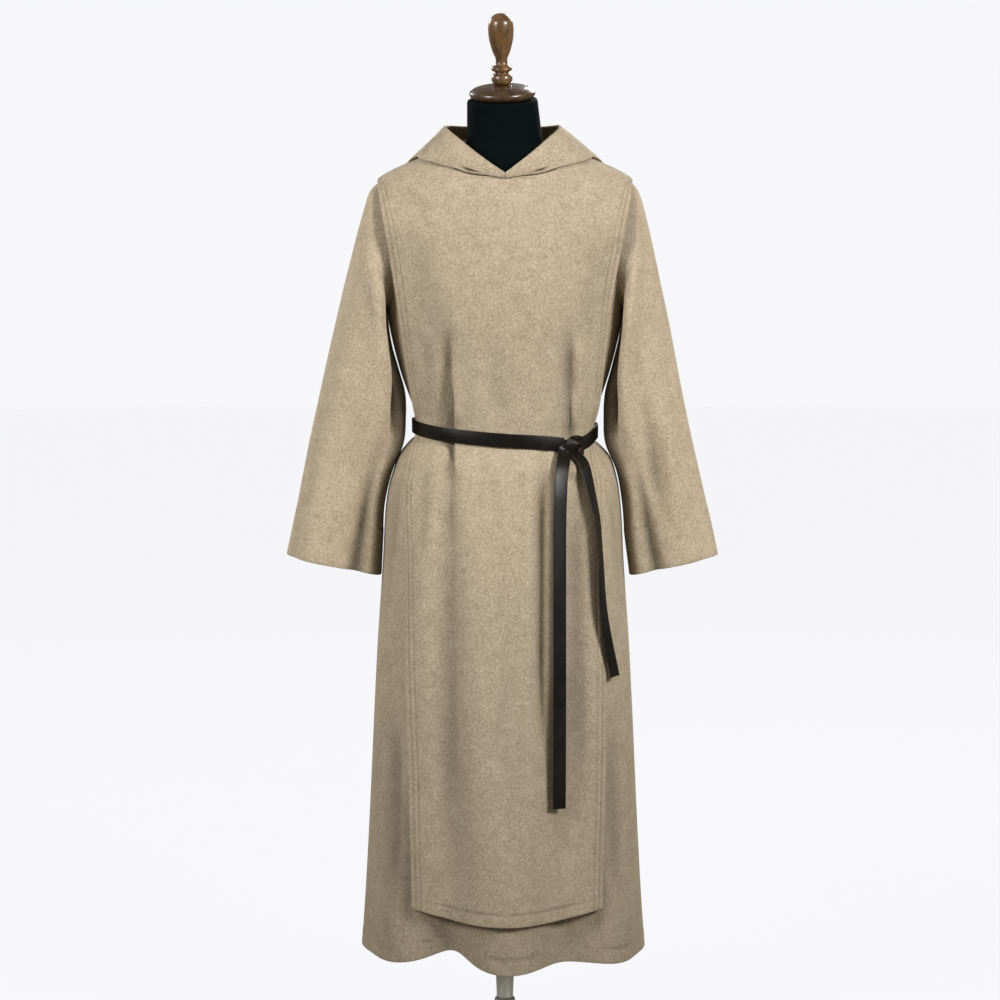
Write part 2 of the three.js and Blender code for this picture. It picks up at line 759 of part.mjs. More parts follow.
function tailPoint(tail, height) {
  const across = along(tail, "height", height, "across");
  const halfWidth = along(SCAPULAR, "height", height, "halfWidth");
  const angle = Math.asin(across / halfWidth);
  const reach = SCAPULAR_CLOTH + along(tail, "height", height, "off");
  return { point: offset(scapularHung, angle, height, reach), angle };
}

function beltTail(tail, steps) {
  const [top, bottom] = [tail[0].height, tail[tail.length - 1].height];
  const places = Array.from({ length: steps + 1 }, (_, i) => {
    const height = lerp(top, bottom, i / steps);
    const { point, angle } = tailPoint(tail, height);
    const turn = angle + degToRad(along(tail, "height", height, "turn"));
    return { point, width: new THREE.Vector3(Math.cos(turn), Math.sin(turn), 0) };
  });
  const middles = places.map((place) => place.point);
  return strap(middles, places.map((place) => place.width), BELT_WIDTH, BELT_THICKNESS);
}
add("belt_tail_long", beltTail(LONG_TAIL, 16), leather);
add("belt_tail_short", beltTail(SHORT_TAIL, 20), leather);

// The knot fills the band's gap with two flattened rolls of the strap, one over the other.
function knotRoll(rows) {
  const centre = offset(scapularHung, KNOT_ANGLE, beltMiddle(KNOT_ANGLE), SCAPULAR_CLOTH);
  const outwards = outward(scapularHung, KNOT_ANGLE, beltMiddle(KNOT_ANGLE));
  const up = new THREE.Vector3(0, 0, 1);
  const sideways = up.clone().cross(outwards).normalize();
  const middles = rows.map((row) =>
    centre
      .clone()
      .addScaledVector(sideways, row.along)
      .addScaledVector(outwards, row.off)
      .addScaledVector(up, row.up),
  );
  const curve = new THREE.CatmullRomCurve3(middles);
  const rings = Array.from({ length: 13 }, (_, i) => {
    const run = curve.getTangentAt(i / 12);
    const across = run.clone().cross(outwards).normalize();
    const thick = across.clone().cross(run).normalize();
    return Array.from({ length: 10 }, (__, c) => {
      const turn = (2 * Math.PI * c) / 10;
      return curve
        .getPointAt(i / 12)
        .addScaledVector(across, 8 * Math.cos(turn))
        .addScaledVector(thick, 3.6 * Math.sin(turn));
    });
  });
  return capped(rings);
}
const knot = () => joined([knotRoll(KNOT_OVER), knotRoll(KNOT_UNDER)]);
add("belt_knot", knot(), leather);

// ---------------------------------------------------------------- dress form

const FORM_NECK_STEPS = 5;
const FORM_ROWS = [
  ...SHOULDER_ROWS,
  SHOULDER_TIP,
  ...[1502, 1460, 1400, 1340, 1285, 1210, 1145, 1098, 1050, 985, 920, 860],
];
const neckTop = (x, y) => NECK_TOP + y * Math.tan(CAP_TILT) - x * Math.tan(CAP_LEAN);

function formPoint(angle, height) {
  const body = (a, h) => ring(BODY, a, h);
  if (height > SHOULDER_TIP) return offset(body, angle, height, -REST_GAP);
  return ring(FORM, angle, height);
}

function formTorso() {
  const angles = Array.from({ length: 2 * ACROSS }, (_, i) => (Math.PI * i) / ACROSS - Math.PI / 2);
  const neck = Array.from({ length: FORM_NECK_STEPS }, (_, i) => i / FORM_NECK_STEPS);
  const rings = [
    ...neck.map((share) =>
      angles.map((angle) => {
        const top = neckTop(60 * Math.sin(angle), -60 * Math.cos(angle));
        const point = formPoint(angle, lerp(top, necklineHeight(angle), share));
        return point.setX(point.x + NECK_SHIFT * (1 - share));
      }),
    ),
    ...FORM_ROWS.map((row) => angles.map((angle) => formPoint(angle, crowded(row, angle)))),
    angles.map((angle) => formPoint(angle, FORM_BOTTOM)),
  ];
  return capped(rings);
}
add("form_torso", formTorso(), blackCloth);

// Turned pieces are profiles of radius and height, from the axis at the bottom to the top.
function turned(profile, segments) {
  return new THREE.LatheGeometry(
    profile.map(([radius, height]) => new THREE.Vector2(radius, height)),
    segments,
  ).rotateX(Math.PI / 2);
}

const CAP_HEIGHT = 24;
const CAP_PROFILE = [
  [0, 0],
  [51, 0],
  [55, 3],
  [57, 8],
  [56, 12.5],
  [50, 17],
  [36, 21.5],
  [18, CAP_HEIGHT],
  [0, CAP_HEIGHT],
];
const FINIAL_PROFILE = [
  [0, 0],
  [13.5, 0],
  [17.3, 5],
  [18.2, 10],
  [16.6, 16],
  [12.6, 20],
  [12.6, 22],
  [17, 24],
  [18, 28],
  [13, 32],
  [10.2, 36],
  [10, 42],
  [13.5, 52],
  [18.6, 68],
  [21.6, 86],
  [21.8, 98],
  [19, 110],
  [12, 118.5],
  [0, 121.5],
];
const neckAssembly = new THREE.Group();
neckAssembly.position.set(NECK_SHIFT, 0, NECK_TOP);
neckAssembly.rotation.set(CAP_TILT, CAP_LEAN, 0);
habit.add(neckAssembly);

const cap = add("neck_cap", turned(CAP_PROFILE, 32), walnut);
cap.position.z = REST_GAP;
neckAssembly.add(cap);
const finial = add("finial", turned(FINIAL_PROFILE, 24), walnut);
finial.position.z = REST_GAP + CAP_HEIGHT + SEAM_GAP;
neckAssembly.add(finial);

const poleLength = FORM_BOTTOM - HUB_TOP - 2 * SEAM_GAP;
const pole = new THREE.CylinderGeometry(POLE_RADIUS, POLE_RADIUS, poleLength, 24, 1);
pole.rotateX(Math.PI / 2).translate(0, 0, HUB_TOP + SEAM_GAP + poleLength / 2);
add("pole", pole, steel);

const BASE_PROFILE = [
  [0, 0],
  [178, 0],
  [180, 2],
  [180, 8],
  [177, 11],
  [90, 14],
  [46, 22],
  [27, 38],
  [20, 60],
  [18.5, 80],
  [17, HUB_TOP],
  [0, HUB_TOP],
];
add("base", turned(BASE_PROFILE, 48), steel);

export default habit;
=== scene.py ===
"""Looks of a monk habit on a dress form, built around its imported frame.

Shapes are worked out in millimetres, +Z up, with the wearer facing -Y, and are turned into
metres as each mesh is made. Angle 0 is the wearer's front and a quarter turn is the left side.
"""

import math

import bpy
import numpy as np
from mathutils import Euler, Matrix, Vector
from mathutils.bvhtree import BVHTree


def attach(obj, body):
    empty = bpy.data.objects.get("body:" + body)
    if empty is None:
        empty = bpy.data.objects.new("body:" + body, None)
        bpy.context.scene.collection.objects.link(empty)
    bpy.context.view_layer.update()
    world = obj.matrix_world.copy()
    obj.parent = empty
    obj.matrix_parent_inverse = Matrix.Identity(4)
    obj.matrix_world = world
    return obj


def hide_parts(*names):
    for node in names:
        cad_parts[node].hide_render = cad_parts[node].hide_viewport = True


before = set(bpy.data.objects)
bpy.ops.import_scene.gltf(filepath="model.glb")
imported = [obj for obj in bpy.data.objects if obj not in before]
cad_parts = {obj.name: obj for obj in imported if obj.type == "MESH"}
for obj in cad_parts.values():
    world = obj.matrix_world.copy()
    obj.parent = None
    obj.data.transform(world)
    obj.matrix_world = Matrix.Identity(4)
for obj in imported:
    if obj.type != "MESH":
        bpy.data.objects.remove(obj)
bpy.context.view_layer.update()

MM = 0.001

# ---------------------------------------------------------------- driving dimensions

TUNIC_CLOTH = 2.2
SCAPULAR_CLOTH = 2.5
HOOD_CLOTH = 2.4
SEAM_GAP = 0.3
ARMHOLE_GAP = 0.5
REST_GAP = 0.5
LAYER_GAP = 0.4  # least air between form and tunic, and between tunic and scapular
SHOULDER_TIP = 1536
UNDERARM = 1302
ARMHOLE_HALF_DEPTH = 62
WAIST = 1102
BELT_WIDTH = 24
BELT_THICKNESS = 2.6
BELT_CLEARANCE = 1.2
POLE_RADIUS = 14.5
FORM_BOTTOM = 800
HUB_TOP = 89
NECK_TOP = 1676
CAP_TILT = math.radians(11)
CAP_LEAN = math.radians(-1.4)
NECK_SHIFT = -4.5
TUNIC_HEM = 190
SCAPULAR_HEM = 268
SCAPULAR_CORNER_RISE = 18
TOP_ROW = 1604
SHOULDER_CALM = 1500  # from here up to the neck, creases and waves fade out
WAIST_REACH = 60
KNOT_ANGLE = math.radians(46)
KNOT_HALF_WIDTH = 18.3
KNOT_REACH = 138  # from the middle of the body to the knot
NECK_RADIUS = 60


def table(columns, rows):
    """Rows of numbers as a column of values for each name."""
    values = np.array(rows, float).T
    return {name: values[i] for i, name in enumerate(columns.split())}


def records(columns, rows):
    """Rows of numbers as one dictionary for each row."""
    return [dict(zip(columns.split(), row)) for row in rows]


# Horizontal sections of the tunic's inner face.
BODY = table("height halfWidth front back", [
    [1690, 60.5, 60.5, 60.5],
    [1640, 63.5, 63.5, 64],
    [1610, 66, 66, 67],
    [1596, 72, 69, 71],
    [1582, 110, 75, 79],
    [1565, 156, 82, 87],
    [1550, 190, 89, 95],
    [1536, 214, 95, 101],
    [1502, 218, 106, 112],
    [1460, 216, 117, 120],
    [1400, 210, 126, 126],
    [1335, 204, 130, 126],
    [1285, 199, 128, 121],
    [1210, 181, 122, 111],
    [1148, 161, 116, 104],
    [1116, 152.5, 112, 101],
    [1088, 152.5, 112, 101],
    [1074, 166, 118, 109],
    [1056, 182, 127, 120],
    [1030, 193, 135, 130],
    [1000, 201, 142, 139],
    [957, 206, 148, 147],
    [880, 210, 157, 155],
    [715, 220, 165, 164],
    [520, 230, 171, 172],
    [300, 242, 177, 180],
    [170, 251, 182, 186],
])

NECKLINE = table("angle height", [
    [0, 1541],
    [15, 1543],
    [30, 1555],
    [50, 1575],
    [70, 1589],
    [90, 1596],
    [135, 1602],
    [180, 1604],
])

# The largest folds: a positive depth is a ridge, a negative one a trough.
FOLD_COLUMNS = "angle spread depth top full hemRise"
TUNIC_FOLDS = records(FOLD_COLUMNS, [
    [0, 14, 20, 760, 240, -8],
    [-24, 12, -26, 820, 240, 23],
    [26, 12, -22, 820, 240, 3],
    [-50, 13, 10, 700, 240, -3],
    [52, 13, 8, 700, 240, -6],
    [-90, 22, 2, 1060, 960, 0],
    [88, 24, -4, 1075, 985, -3],
    [122, 15, 10, 760, 240, -4],
    [150, 13, -20, 820, 240, 12],
    [180, 17, 14, 800, 240, -6],
    [-150, 13, -22, 820, 240, 14],
    [-121, 15, 12, 760, 240, -4],
])
SCAPULAR_FOLDS = records(FOLD_COLUMNS, [
    [0, 16, 20, 800, 250, 0],
    [-26, 12, -9, 960, 420, 0],
    [25, 12, -7, 900, 420, 0],
    [180, 18, 14, 820, 250, 0],
    [152, 13, -7, 960, 420, 0],
    [-150, 13, -8, 940, 420, 0],
])

SCAPULAR = table("height halfWidth front back rightEdge leftEdge", [
    [1526, 227, 104, 110, 217, 216],
    [1503, 247, 113, 118, 214, 213],
    [1460, 265, 124, 127, 206, 204],
    [1417, 246, 131, 132, 198, 197],
    [1332, 222, 137, 132, 185, 183],
    [1246, 199, 131, 121, 173, 173],
    [1160, 174, 122, 110, 161, 163],
    [1116, 157, 116.5, 105.5, 154, 153],
    [1088, 157, 116.5, 105.5, 154, 152],
    [1074, 172, 124, 115, 160, 157],
    [1056, 189, 134, 127, 166, 162],
    [1030, 201, 142, 138, 171, 167],
    [990, 209, 151, 149, 174, 170],
    [887, 217, 165, 163, 170, 170],
    [700, 229, 175, 175, 167, 170],
    [480, 239, 181, 183, 164, 170],
    [268, 250, 188, 193, 162, 169],
])
TUCKS = records("across spread depth above below", [[-84, 11, 9, 125, 80], [112, 9, 8, 120, 60]])

SLEEVE = table("section outerHeight innerHeight rightOuter rightInner leftOuter leftInner halfDepth", [
    [0, 1518, 1285, 233, 208, 230, 208, 67],
    [1, 1490, 1262, 243, 205, 240, 205, 70],
    [2, 1450, 1235, 255, 199, 250, 199, 71],
    [3, 1407, 1203, 266, 189, 260, 189, 68],
    [4, 1355, 1166, 279, 179, 271, 179, 64],
    [5, 1300, 1125, 292, 178, 283, 177, 60],
    [6, 1240, 1080, 306, 182, 295, 180, 57],
    [7, 1170, 1030, 322, 197, 309, 196, 54],
    [8, 1090, 975, 340, 211, 326, 208, 51],
    [9, 1000, 918, 359, 217, 347, 213, 49],
    [10, 886, 850, 383, 221, 372, 221, 48],
])
LAST_SECTION = 10

# Creases of the sleeves: `turn` is 0 at the outer fold and 90 at the front, `drift` is how far
# the crease turns from its top section to its bottom one.
SLEEVE_CREASES = records("side turn drift spread depth top bottom", [
    [-1, 104, 6, 24, 13, -1.6, 8],
    [-1, 146, -8, 12, -24, -1.4, 7],
    [-1, 134, -26, 13, -15, 6.0, 14.5],
    [-1, 60, 8, 24, 5, 3, 14],
    [-1, 32, 6, 13, -4, 5, 14],
    [-1, 24, 30, 12, -3, 0.2, 3.4],
    [-1, 90, -26, 12, -4, 6.2, 9.2],
    [-1, 236, 12, 14, -15, 0.4, 13],
    [-1, 264, -14, 18, 9, 0.2, 12],
    [-1, 300, -24, 10, -5, 0.2, 4],
    [-1, 318, 8, 12, -6, 5, 14],
    [-1, 262, 26, 9, -5, 5.0, 8.4],
    [1, 104, 6, 22, 13, -1.6, 8],
    [1, 146, -8, 12, -24, -1.4, 7],
    [1, 94, 2, 11, -10, 2.6, 9.6],
    [1, 128, -26, 12, -14, 6.4, 14.5],
    [1, 70, -6, 17, 6, 4, 14],
    [1, 44, 6, 13, -4, 5, 14],
    [1, 30, 30, 12, -3, 0.2, 3.4],
    [1, 60, 26, 8, 4, 6.8, 9.4],
    [1, 238, 12, 14, -15, 0.4, 13],
    [1, 268, -14, 18, 9, 0.2, 12],
    [1, 296, -24, 10, -5, 0.2, 4],
    [1, 322, 8, 12, -6, 5, 14],
    [1, 258, 24, 9, -5, 5.4, 8.6],
])
INNER_DRAW = 5  # how much nearer to the body the sleeves' inner folds may hang
BESIDE_GAP = 1.8
SLEEVE_FULLNESS = 0.66  # below 1, the sleeves' fronts and backs hang flatter than an ellipse

HOOD = table("angle foldAngle foldHeight foldLift rimAngle rimRadius rimHeight puff", [
    [0, 0, 1536, 4.2, 0, 105, 1549, 1],
    [15, 16, 1545, 4.4, 24, 101, 1579, 3],
    [30, 32, 1554, 4.6, 48, 99, 1606, 4],
    [50, 56, 1562, 5, 69, 100, 1623, 3],
    [70, 79, 1567, 5, 86, 99, 1629, 2],
    [90, 99, 1566, 6, 99, 99, 1631, 1],
    [120, 132, 1528, 13, 125, 104, 1632, 8],
    [150, 156, 1430, 18, 152, 103, 1631, 34],
    [180, 180, 1355, 20, 180, 102, 1630, 42],
])

FORM = table("height halfWidth front back", [
    [1536, 211, 93, 99],
    [1502, 206, 100, 107],
    [1460, 196, 110, 113],
    [1400, 184, 118, 117],
    [1340, 176, 120, 115],
    [1290, 170, 116, 110],
    [1210, 156, 106, 100],
    [1140, 145, 100, 94],
    [1096, 141, 98, 91],
    [1050, 147, 101, 97],
    [990, 158, 108, 108],
    [920, 168, 114, 118],
    [860, 168, 112, 118],
    [800, 160, 106, 110],
])

BELT_LINE = table("angle height", [
    [-180, 1104],
    [-90, 1112],
    [-45, 1103.5],
    [0, 1094],
    [25, 1089.5],
    [46, 1083],
    [60, 1087],
    [78, 1100],
    [100, 1103],
    [180, 1104],
])

# Middle lines of the belt's two ends.
TAIL_COLUMNS = "height across off turn"
LONG_TAIL = table(TAIL_COLUMNS, [
    [1075, 107, 8.5, 4],
    [1064.9, 105.8, 8.5, 2],
    [1040, 93, 14, 0],
    [1000, 89, 14, 0],
    [940, 88, 12, 0],
    [840, 88, 12, 0],
    [700, 88, 14, 0],
    [580, 88, 13, 0],
    [468, 88, 11, 0],
])
SHORT_TAIL = table(TAIL_COLUMNS, [
    [1073, 126, 5, -4],
    [1063.2, 129, 6, -8],
    [1040, 132, 11, 0],
    [1005, 139, 12, 12],
    [960, 148, 13, 22],
    [893, 153, 14, 24],
    [807, 158, 13, 12],
    [739, 169, 11, 0],
    [689, 180, 10, -6],
])

# Soft creases listed for the panels, from one end to the other across the wearer and by
# height. `bow` bends a crease sideways, and `soft` widens its one flank.
CREASE_COLUMNS = "x0 z0 x1 z1 width soft depth bow"
SCAPULAR_FRONT_CREASES = records(CREASE_COLUMNS, [
    [-95, 1300, -93, 1030, 4, 4.0, -6.5, 3],
    [-93, 1200, -92, 1015, 4, 1.6, -6.5, 0],
    [-94, 1090, -84, 300, 17, 2.0, -4.6, 5],
    [-90, 1088, -96, 900, 8, 2.4, -3, 2],
    [-54, 1060, -46, 290, 24, 1.4, 3.2, -8],
    [112, 1290, 113, 1040, 7, 2.4, -8.5, -3],
    [134, 1280, 132, 1112, 9, 1.6, 3, 4],
    [70, 1132, 66, 500, 5.4, 3.2, -8, 3],
    [46, 1060, 38, 360, 20, 1.5, 2.8, -6],
    [126, 1080, 134, 420, 15, 1.6, -6, 5],
    [-140, 1080, -152, 860, 10, 1.8, -2.6, -5],
    [-128, 1060, -140, 500, 18, 1.4, 2.6, 6],
    [-10, 1084, -24, 830, 13, 1.6, -2.0, 6],
    [26, 1080, 20, 880, 11, 1.7, -1.8, -5],
    [-44, 1086, -40, 920, 10, 1.8, -1.8, 4],
    [-6, 1110, -20, 1280, 14, 1.6, -1.8, -7],
    [52, 1106, 60, 1300, 12, 1.6, -2.0, 6],
    [-132, 1112, -146, 1290, 11, 1.6, -2.4, 5],
    [-160, 1480, -70, 1180, 24, 1.5, -2.6, 16],
    [168, 1460, 96, 1190, 24, 1.5, -2.8, -18],
    [-60, 1500, -40, 1250, 34, 1.4, -1.6, -8],
    [70, 1480, 62, 1260, 30, 1.5, 1.6, 8],
    [12, 980, 6, 290, 34, 1.4, -2.4, 6],
    [100, 760, 108, 290, 18, 1.6, -3, 4],
    [-168, 860, -158, 320, 12, 1.4, 2.4, 4],
    [160, 860, 162, 320, 12, 1.4, 2.4, -4],
    [-190, 1526, -120, 1478, 13, 1.4, -2.2, 8],
    [188, 1526, 126, 1482, 13, 1.4, -2.2, -8],
])
SCAPULAR_BACK_CREASES = records(CREASE_COLUMNS, [
    [-78, 1112, -88, 1270, 9, 2.0, -5, 5],
    [84, 1112, 92, 1260, 9, 2.0, -5, -5],
    [6, 1112, -8, 1240, 13, 1.6, -3.2, 6],
    [-40, 1112, -30, 1210, 10, 1.6, -2.4, 4],
    [46, 1112, 40, 1200, 10, 1.6, -2.4, -4],
    [-80, 1088, -92, 640, 12, 2.0, -6, 6],
    [84, 1088, 96, 600, 12, 2.0, -6, -6],
    [-8, 1088, 10, 720, 15, 1.8, -4, 8],
    [-46, 1086, -50, 820, 14, 1.6, 3, -5],
    [42, 1086, 48, 800, 14, 1.6, 3, 5],
    [-130, 1080, -142, 760, 13, 1.6, -3, 4],
    [128, 1080, 140, 740, 13, 1.6, -3, -4],
    [-70, 700, -80, 300, 22, 1.5, -4.5, 7],
    [66, 720, 82, 300, 22, 1.5, -4.5, -7],
    [-6, 740, -2, 300, 30, 1.3, 3, 6],
    [-120, 620, -128, 300, 18, 1.4, -3, 4],
    [124, 620, 130, 300, 18, 1.4, -3, -4],
    [-168, 1470, -80, 1240, 24, 1.5, -3.4, 14],
    [166, 1470, 84, 1240, 24, 1.5, -3.4, -14],
    [-60, 1400, 66, 1392, 26, 1.4, 2.2, -16],
])
TUNIC_FRONT_CREASES = records(CREASE_COLUMNS, [
    [-186, 1060, -214, 700, 12, 1.6, -5, 6],
    [186, 1060, 214, 700, 12, 1.6, -5, -6],
    [-204, 900, -226, 420, 14, 1.5, 4, 5],
    [204, 900, 226, 420, 14, 1.5, 4, -5],
    [-192, 640, -204, 230, 14, 1.5, -5, -5],
    [190, 640, 204, 230, 14, 1.5, -5, 5],
    [-150, 520, -166, 200, 15, 1.5, -5, 4],
    [-66, 480, -70, 205, 12, 1.6, 4, 3],
    [60, 480, 70, 205, 12, 1.6, 4, -3],
    [144, 520, 160, 200, 15, 1.5, -5, -4],
])
TUNIC_BACK_CREASES = records(CREASE_COLUMNS, [
    [-186, 1060, -212, 680, 12, 1.6, -5, 6],
    [186, 1060, 212, 680, 12, 1.6, -5, -6],
    [-204, 900, -224, 420, 14, 1.5, 4, 5],
    [204, 900, 224, 420, 14, 1.5, 4, -5],
    [-188, 640, -200, 230, 14, 1.5, -5, -5],
    [190, 640, 200, 230, 14, 1.5, -5, 5],
    [-60, 480, -66, 205, 12, 1.6, 4, 3],
    [62, 480, 70, 205, 12, 1.6, 4, -3],
    [-140, 520, -152, 200, 15, 1.5, -5, 4],
    [146, 520, 156, 200, 15, 1.5, -5, -4],
])

# ---------------------------------------------------------------- curves and surfaces


def hermite(start, leaving, end, arriving, t):
    """A cubic between two values, with its slopes there, at shares t of the way."""
    return (
        start * (2 * t**3 - 3 * t**2 + 1)
        + leaving * (t**3 - 2 * t**2 + t)
        + end * (3 * t**2 - 2 * t**3)
        + arriving * (t**3 - t**2)
    )


def along(rows, key, at, column):
    """A column's values at places along a table, on a smooth curve through its rows."""
    keys, values = rows[key], rows[column]
    at = np.asarray(at, float)
    direction = 1 if keys[1] > keys[0] else -1
    i = np.clip(np.searchsorted(direction * keys, direction * at) - 1, 0, len(keys) - 2)
    before, after = np.maximum(i - 1, 0), np.minimum(i + 2, len(keys) - 1)
    span = keys[i + 1] - keys[i]
    t = np.clip((at - keys[i]) / span, 0, 1)
    leaving = (values[i + 1] - values[before]) / (keys[i + 1] - keys[before]) * span
    arriving = (values[after] - values[i]) / (keys[after] - keys[i]) * span
    return hermite(values[i], leaving, values[i + 1], arriving, t)


def mix(a, b, share):
    return a + (b - a) * share


def bell(distance, spread):
    return np.exp(-((distance / spread) ** 2))


def smoothstep(x, low, high):
    t = np.clip((x - low) / (high - low), 0, 1)
    return t * t * (3 - 2 * t)


def turns_apart(a, b):
    return np.arctan2(np.sin(a - b), np.cos(a - b))


def stacked(x, y, z):
    return np.stack(np.broadcast_arrays(x, y, z), axis=-1).astype(float)


def unit(vectors):
    return vectors / np.maximum(np.linalg.norm(vectors, axis=-1, keepdims=True), 1e-9)


def belt_middle(angle):
    return along(BELT_LINE, "angle", np.degrees(turns_apart(angle, 0)), "height")


def dipped(section, angle):
    """The waist follows the belt where it dips."""
    return section - (WAIST - belt_middle(angle)) * bell(section - WAIST, WAIST_REACH)


def ring(rows, angle, height):
    """Points on horizontal sections, at these angles and heights."""
    section = np.asarray(height, float) + 0 * angle
    for _ in range(4):
        section = section + height - dipped(section, angle)
    half_width = along(rows, "height", section, "halfWidth")
    front, back = (along(rows, "height", section, side) for side in ("front", "back"))
    depth = np.where(np.cos(angle) > 0, front, back)
    return stacked(half_width * np.sin(angle), -depth * np.cos(angle), height)


def fold_depth(folds, angle, height):
    """How far the largest folds push the cloth out."""
    total = 0
    for fold in folds:
        share = 1 - smoothstep(height, fold["full"], fold["top"])
        away = turns_apart(angle, math.radians(fold["angle"]))
        total = total + fold["depth"] * share * bell(away, math.radians(fold["spread"]))
    return total


def hem_height(angle):
    height = TUNIC_HEM
    for fold in TUNIC_FOLDS:
        away = turns_apart(angle, math.radians(fold["angle"]))
        height = height + fold["hemRise"] * bell(away, math.radians(fold["spread"]))
    return height


def neckline_height(angle):
    return along(NECKLINE, "angle", np.degrees(np.abs(turns_apart(angle, 0))), "height")


def moved(points, directions, distance):
    return points + directions * np.asarray(distance)[..., None]


def pushed_out(points, angle, distance):
    return moved(points, stacked(np.sin(angle), -np.cos(angle), 0), distance)


def tunic_inner(angle, height):
    return pushed_out(ring(BODY, angle, height), angle, fold_depth(TUNIC_FOLDS, angle, height))


def outward(surface, angle, height):
    """Unit normals of a surface that is given by angle and height."""
    turn, rise = 0.01, 1
    across = surface(angle + turn, height) - surface(angle - turn, height)
    down = surface(angle, height - rise) - surface(angle, height + rise)
    return unit(np.cross(down, across))


def offset(surface, angle, height, distance):
    return moved(surface(angle, height), outward(surface, angle, height), distance)


def crowded(row, angle):
    """The height of a panel's row, crowded together under the neckline and dipped at the belt."""
    share = (row - SHOULDER_TIP) / (TOP_ROW - SHOULDER_TIP)
    above = mix(SHOULDER_TIP, neckline_height(angle), share)
    return np.where(row <= SHOULDER_TIP, dipped(row, angle), above)


def tunic_edge(height, side):
    """Angle from the middle of the panel to its side edge."""
    depth = along(BODY, "height", height, side)
    middle = (SHOULDER_TIP + UNDERARM) / 2
    share = np.clip((height - middle) / (SHOULDER_TIP - middle), -1, 1)
    opening = ARMHOLE_HALF_DEPTH * np.sqrt(1 - share**2)
    return np.arccos(np.clip(np.maximum(opening, SEAM_GAP / 2) / depth, 0, 1))


def tuck_depth(across, above_belt):
    """How far the scapular puffs out where the belt gathers it."""
    distance = np.abs(above_belt)
    total = 0
    for tuck in TUCKS:
        reach = np.where(above_belt > 0, tuck["above"], tuck["below"])
        share = smoothstep(distance, 16, 42) * (1 - smoothstep(distance, 42, reach))
        total = total + tuck["depth"] * share * bell(across - tuck["across"], tuck["spread"])
    return total


def scapular_hung(angle, height):
    points = ring(SCAPULAR, angle, height)
    tucks = tuck_depth(points[..., 0], height - belt_middle(angle)) * (np.cos(angle) > 0)
    return pushed_out(points, angle, fold_depth(SCAPULAR_FOLDS, angle, height) + tucks)


def spline(points, places, centripetal=False):
    """Points on a Catmull-Rom curve through a stack of points, at places counted in points."""
    points = np.asarray(points, float)
    ends = 2 * points[0] - points[1], 2 * points[-1] - points[-2]
    padded = np.concatenate([ends[0][None], points, ends[1][None]])
    i = np.clip(np.floor(places).astype(int), 0, len(points) - 2)
    shape = (len(i),) + (1,) * (points.ndim - 1)
    t = (np.asarray(places) - i).reshape(shape)
    p0, p1, p2, p3 = (padded[i + k] for k in range(4))
    if centripetal:
        step = [
            np.maximum(np.linalg.norm(b - a, axis=-1, keepdims=True) ** 0.5, 1e-6)
            for a, b in ((p0, p1), (p1, p2), (p2, p3))
        ]
    else:
        step = [1, 1, 1]
    d0, d1, d2 = step
    leaving = ((p1 - p0) / d0 - (p2 - p0) / (d0 + d1) + (p2 - p1) / d1) * d1
    arriving = ((p2 - p1) / d1 - (p3 - p1) / (d1 + d2) + (p3 - p2) / d2) * d1
    return hermite(p1, leaving, p2, arriving, t)


def grid_normals(grid, closed=False):
    """Unit normals of a grid of points, rows by columns, from its neighbours' places."""
    if closed:
        across = np.roll(grid, -1, axis=1) - np.roll(grid, 1, axis=1)
    else:
        across = np.gradient(grid, axis=1)
    down = np.gradient(grid, axis=0)
    return unit(np.cross(down, across))


def arc_lengths(grid, axis):
    """Distance along a grid's rows or columns from its first edge."""
    steps = np.linalg.norm(np.diff(grid, axis=axis), axis=-1)
    start = np.zeros_like(np.take(steps, [0], axis=axis))
    return np.concatenate([start, np.cumsum(steps, axis=axis)], axis=axis)


def from_last_row(grid):
    return np.abs(arc_lengths(grid[::-1], 0)[::-1])


def from_sides(grid):
    """Distance from the nearer of a grid's two side edges."""
    return np.minimum(arc_lengths(grid, 1), arc_lengths(grid[:, ::-1], 1)[:, ::-1])


def turned_in(distance, depth, before=2, after=1):
    """1 nearer to an edge than the depth of its turned-in cloth, and 0 past it."""
    return 1 - smoothstep(distance, depth - before, depth + after)


# ---------------------------------------------------------------- folds of the cloth

CREASE_STRENGTH = 1.7
SHALLOW = 1.5  # folds of less depth than this get no painted shade
DEEP = 14
LOW_SKIRT = 330


def creases(rows, x, z):
    """How far the listed creases push the cloth out at places across the wearer and by height."""
    total = np.zeros(np.broadcast(x, z).shape)
    for row in rows:
        dx, dz = row["x1"] - row["x0"], row["z1"] - row["z0"]
        length = math.hypot(dx, dz)
        t = ((x - row["x0"]) * dx + (z - row["z0"]) * dz) / length**2
        inside = np.clip(t, 0, 1)
        aside = ((x - row["x0"]) * dz - (z - row["z0"]) * dx) / length
        aside = aside - row["bow"] * 4 * inside * (1 - inside)
        width = np.where(aside > 0, row["width"] * row["soft"], row["width"])
        fade = smoothstep(t, 0, 0.3) * (1 - smoothstep(t, 0.62, 1))
        total += row["depth"] * fade * bell(aside, width)
    return total * CREASE_STRENGTH


def fold_shade(push):
    """How deep in a fold the cloth lies, from 0 to 1: painted shade that darkens the wool's colour in
    the fold.
    """
    return np.clip((-push - SHALLOW) / DEEP, 0, 1) ** 1.3


def painted_falloff_shade(height):
    """Painted shade: how much darker the cloth's colour is made from the hips down to the hems, where
    less light falls.
    """
    return 0.32 * smoothstep(height, 1000, LOW_SKIRT)


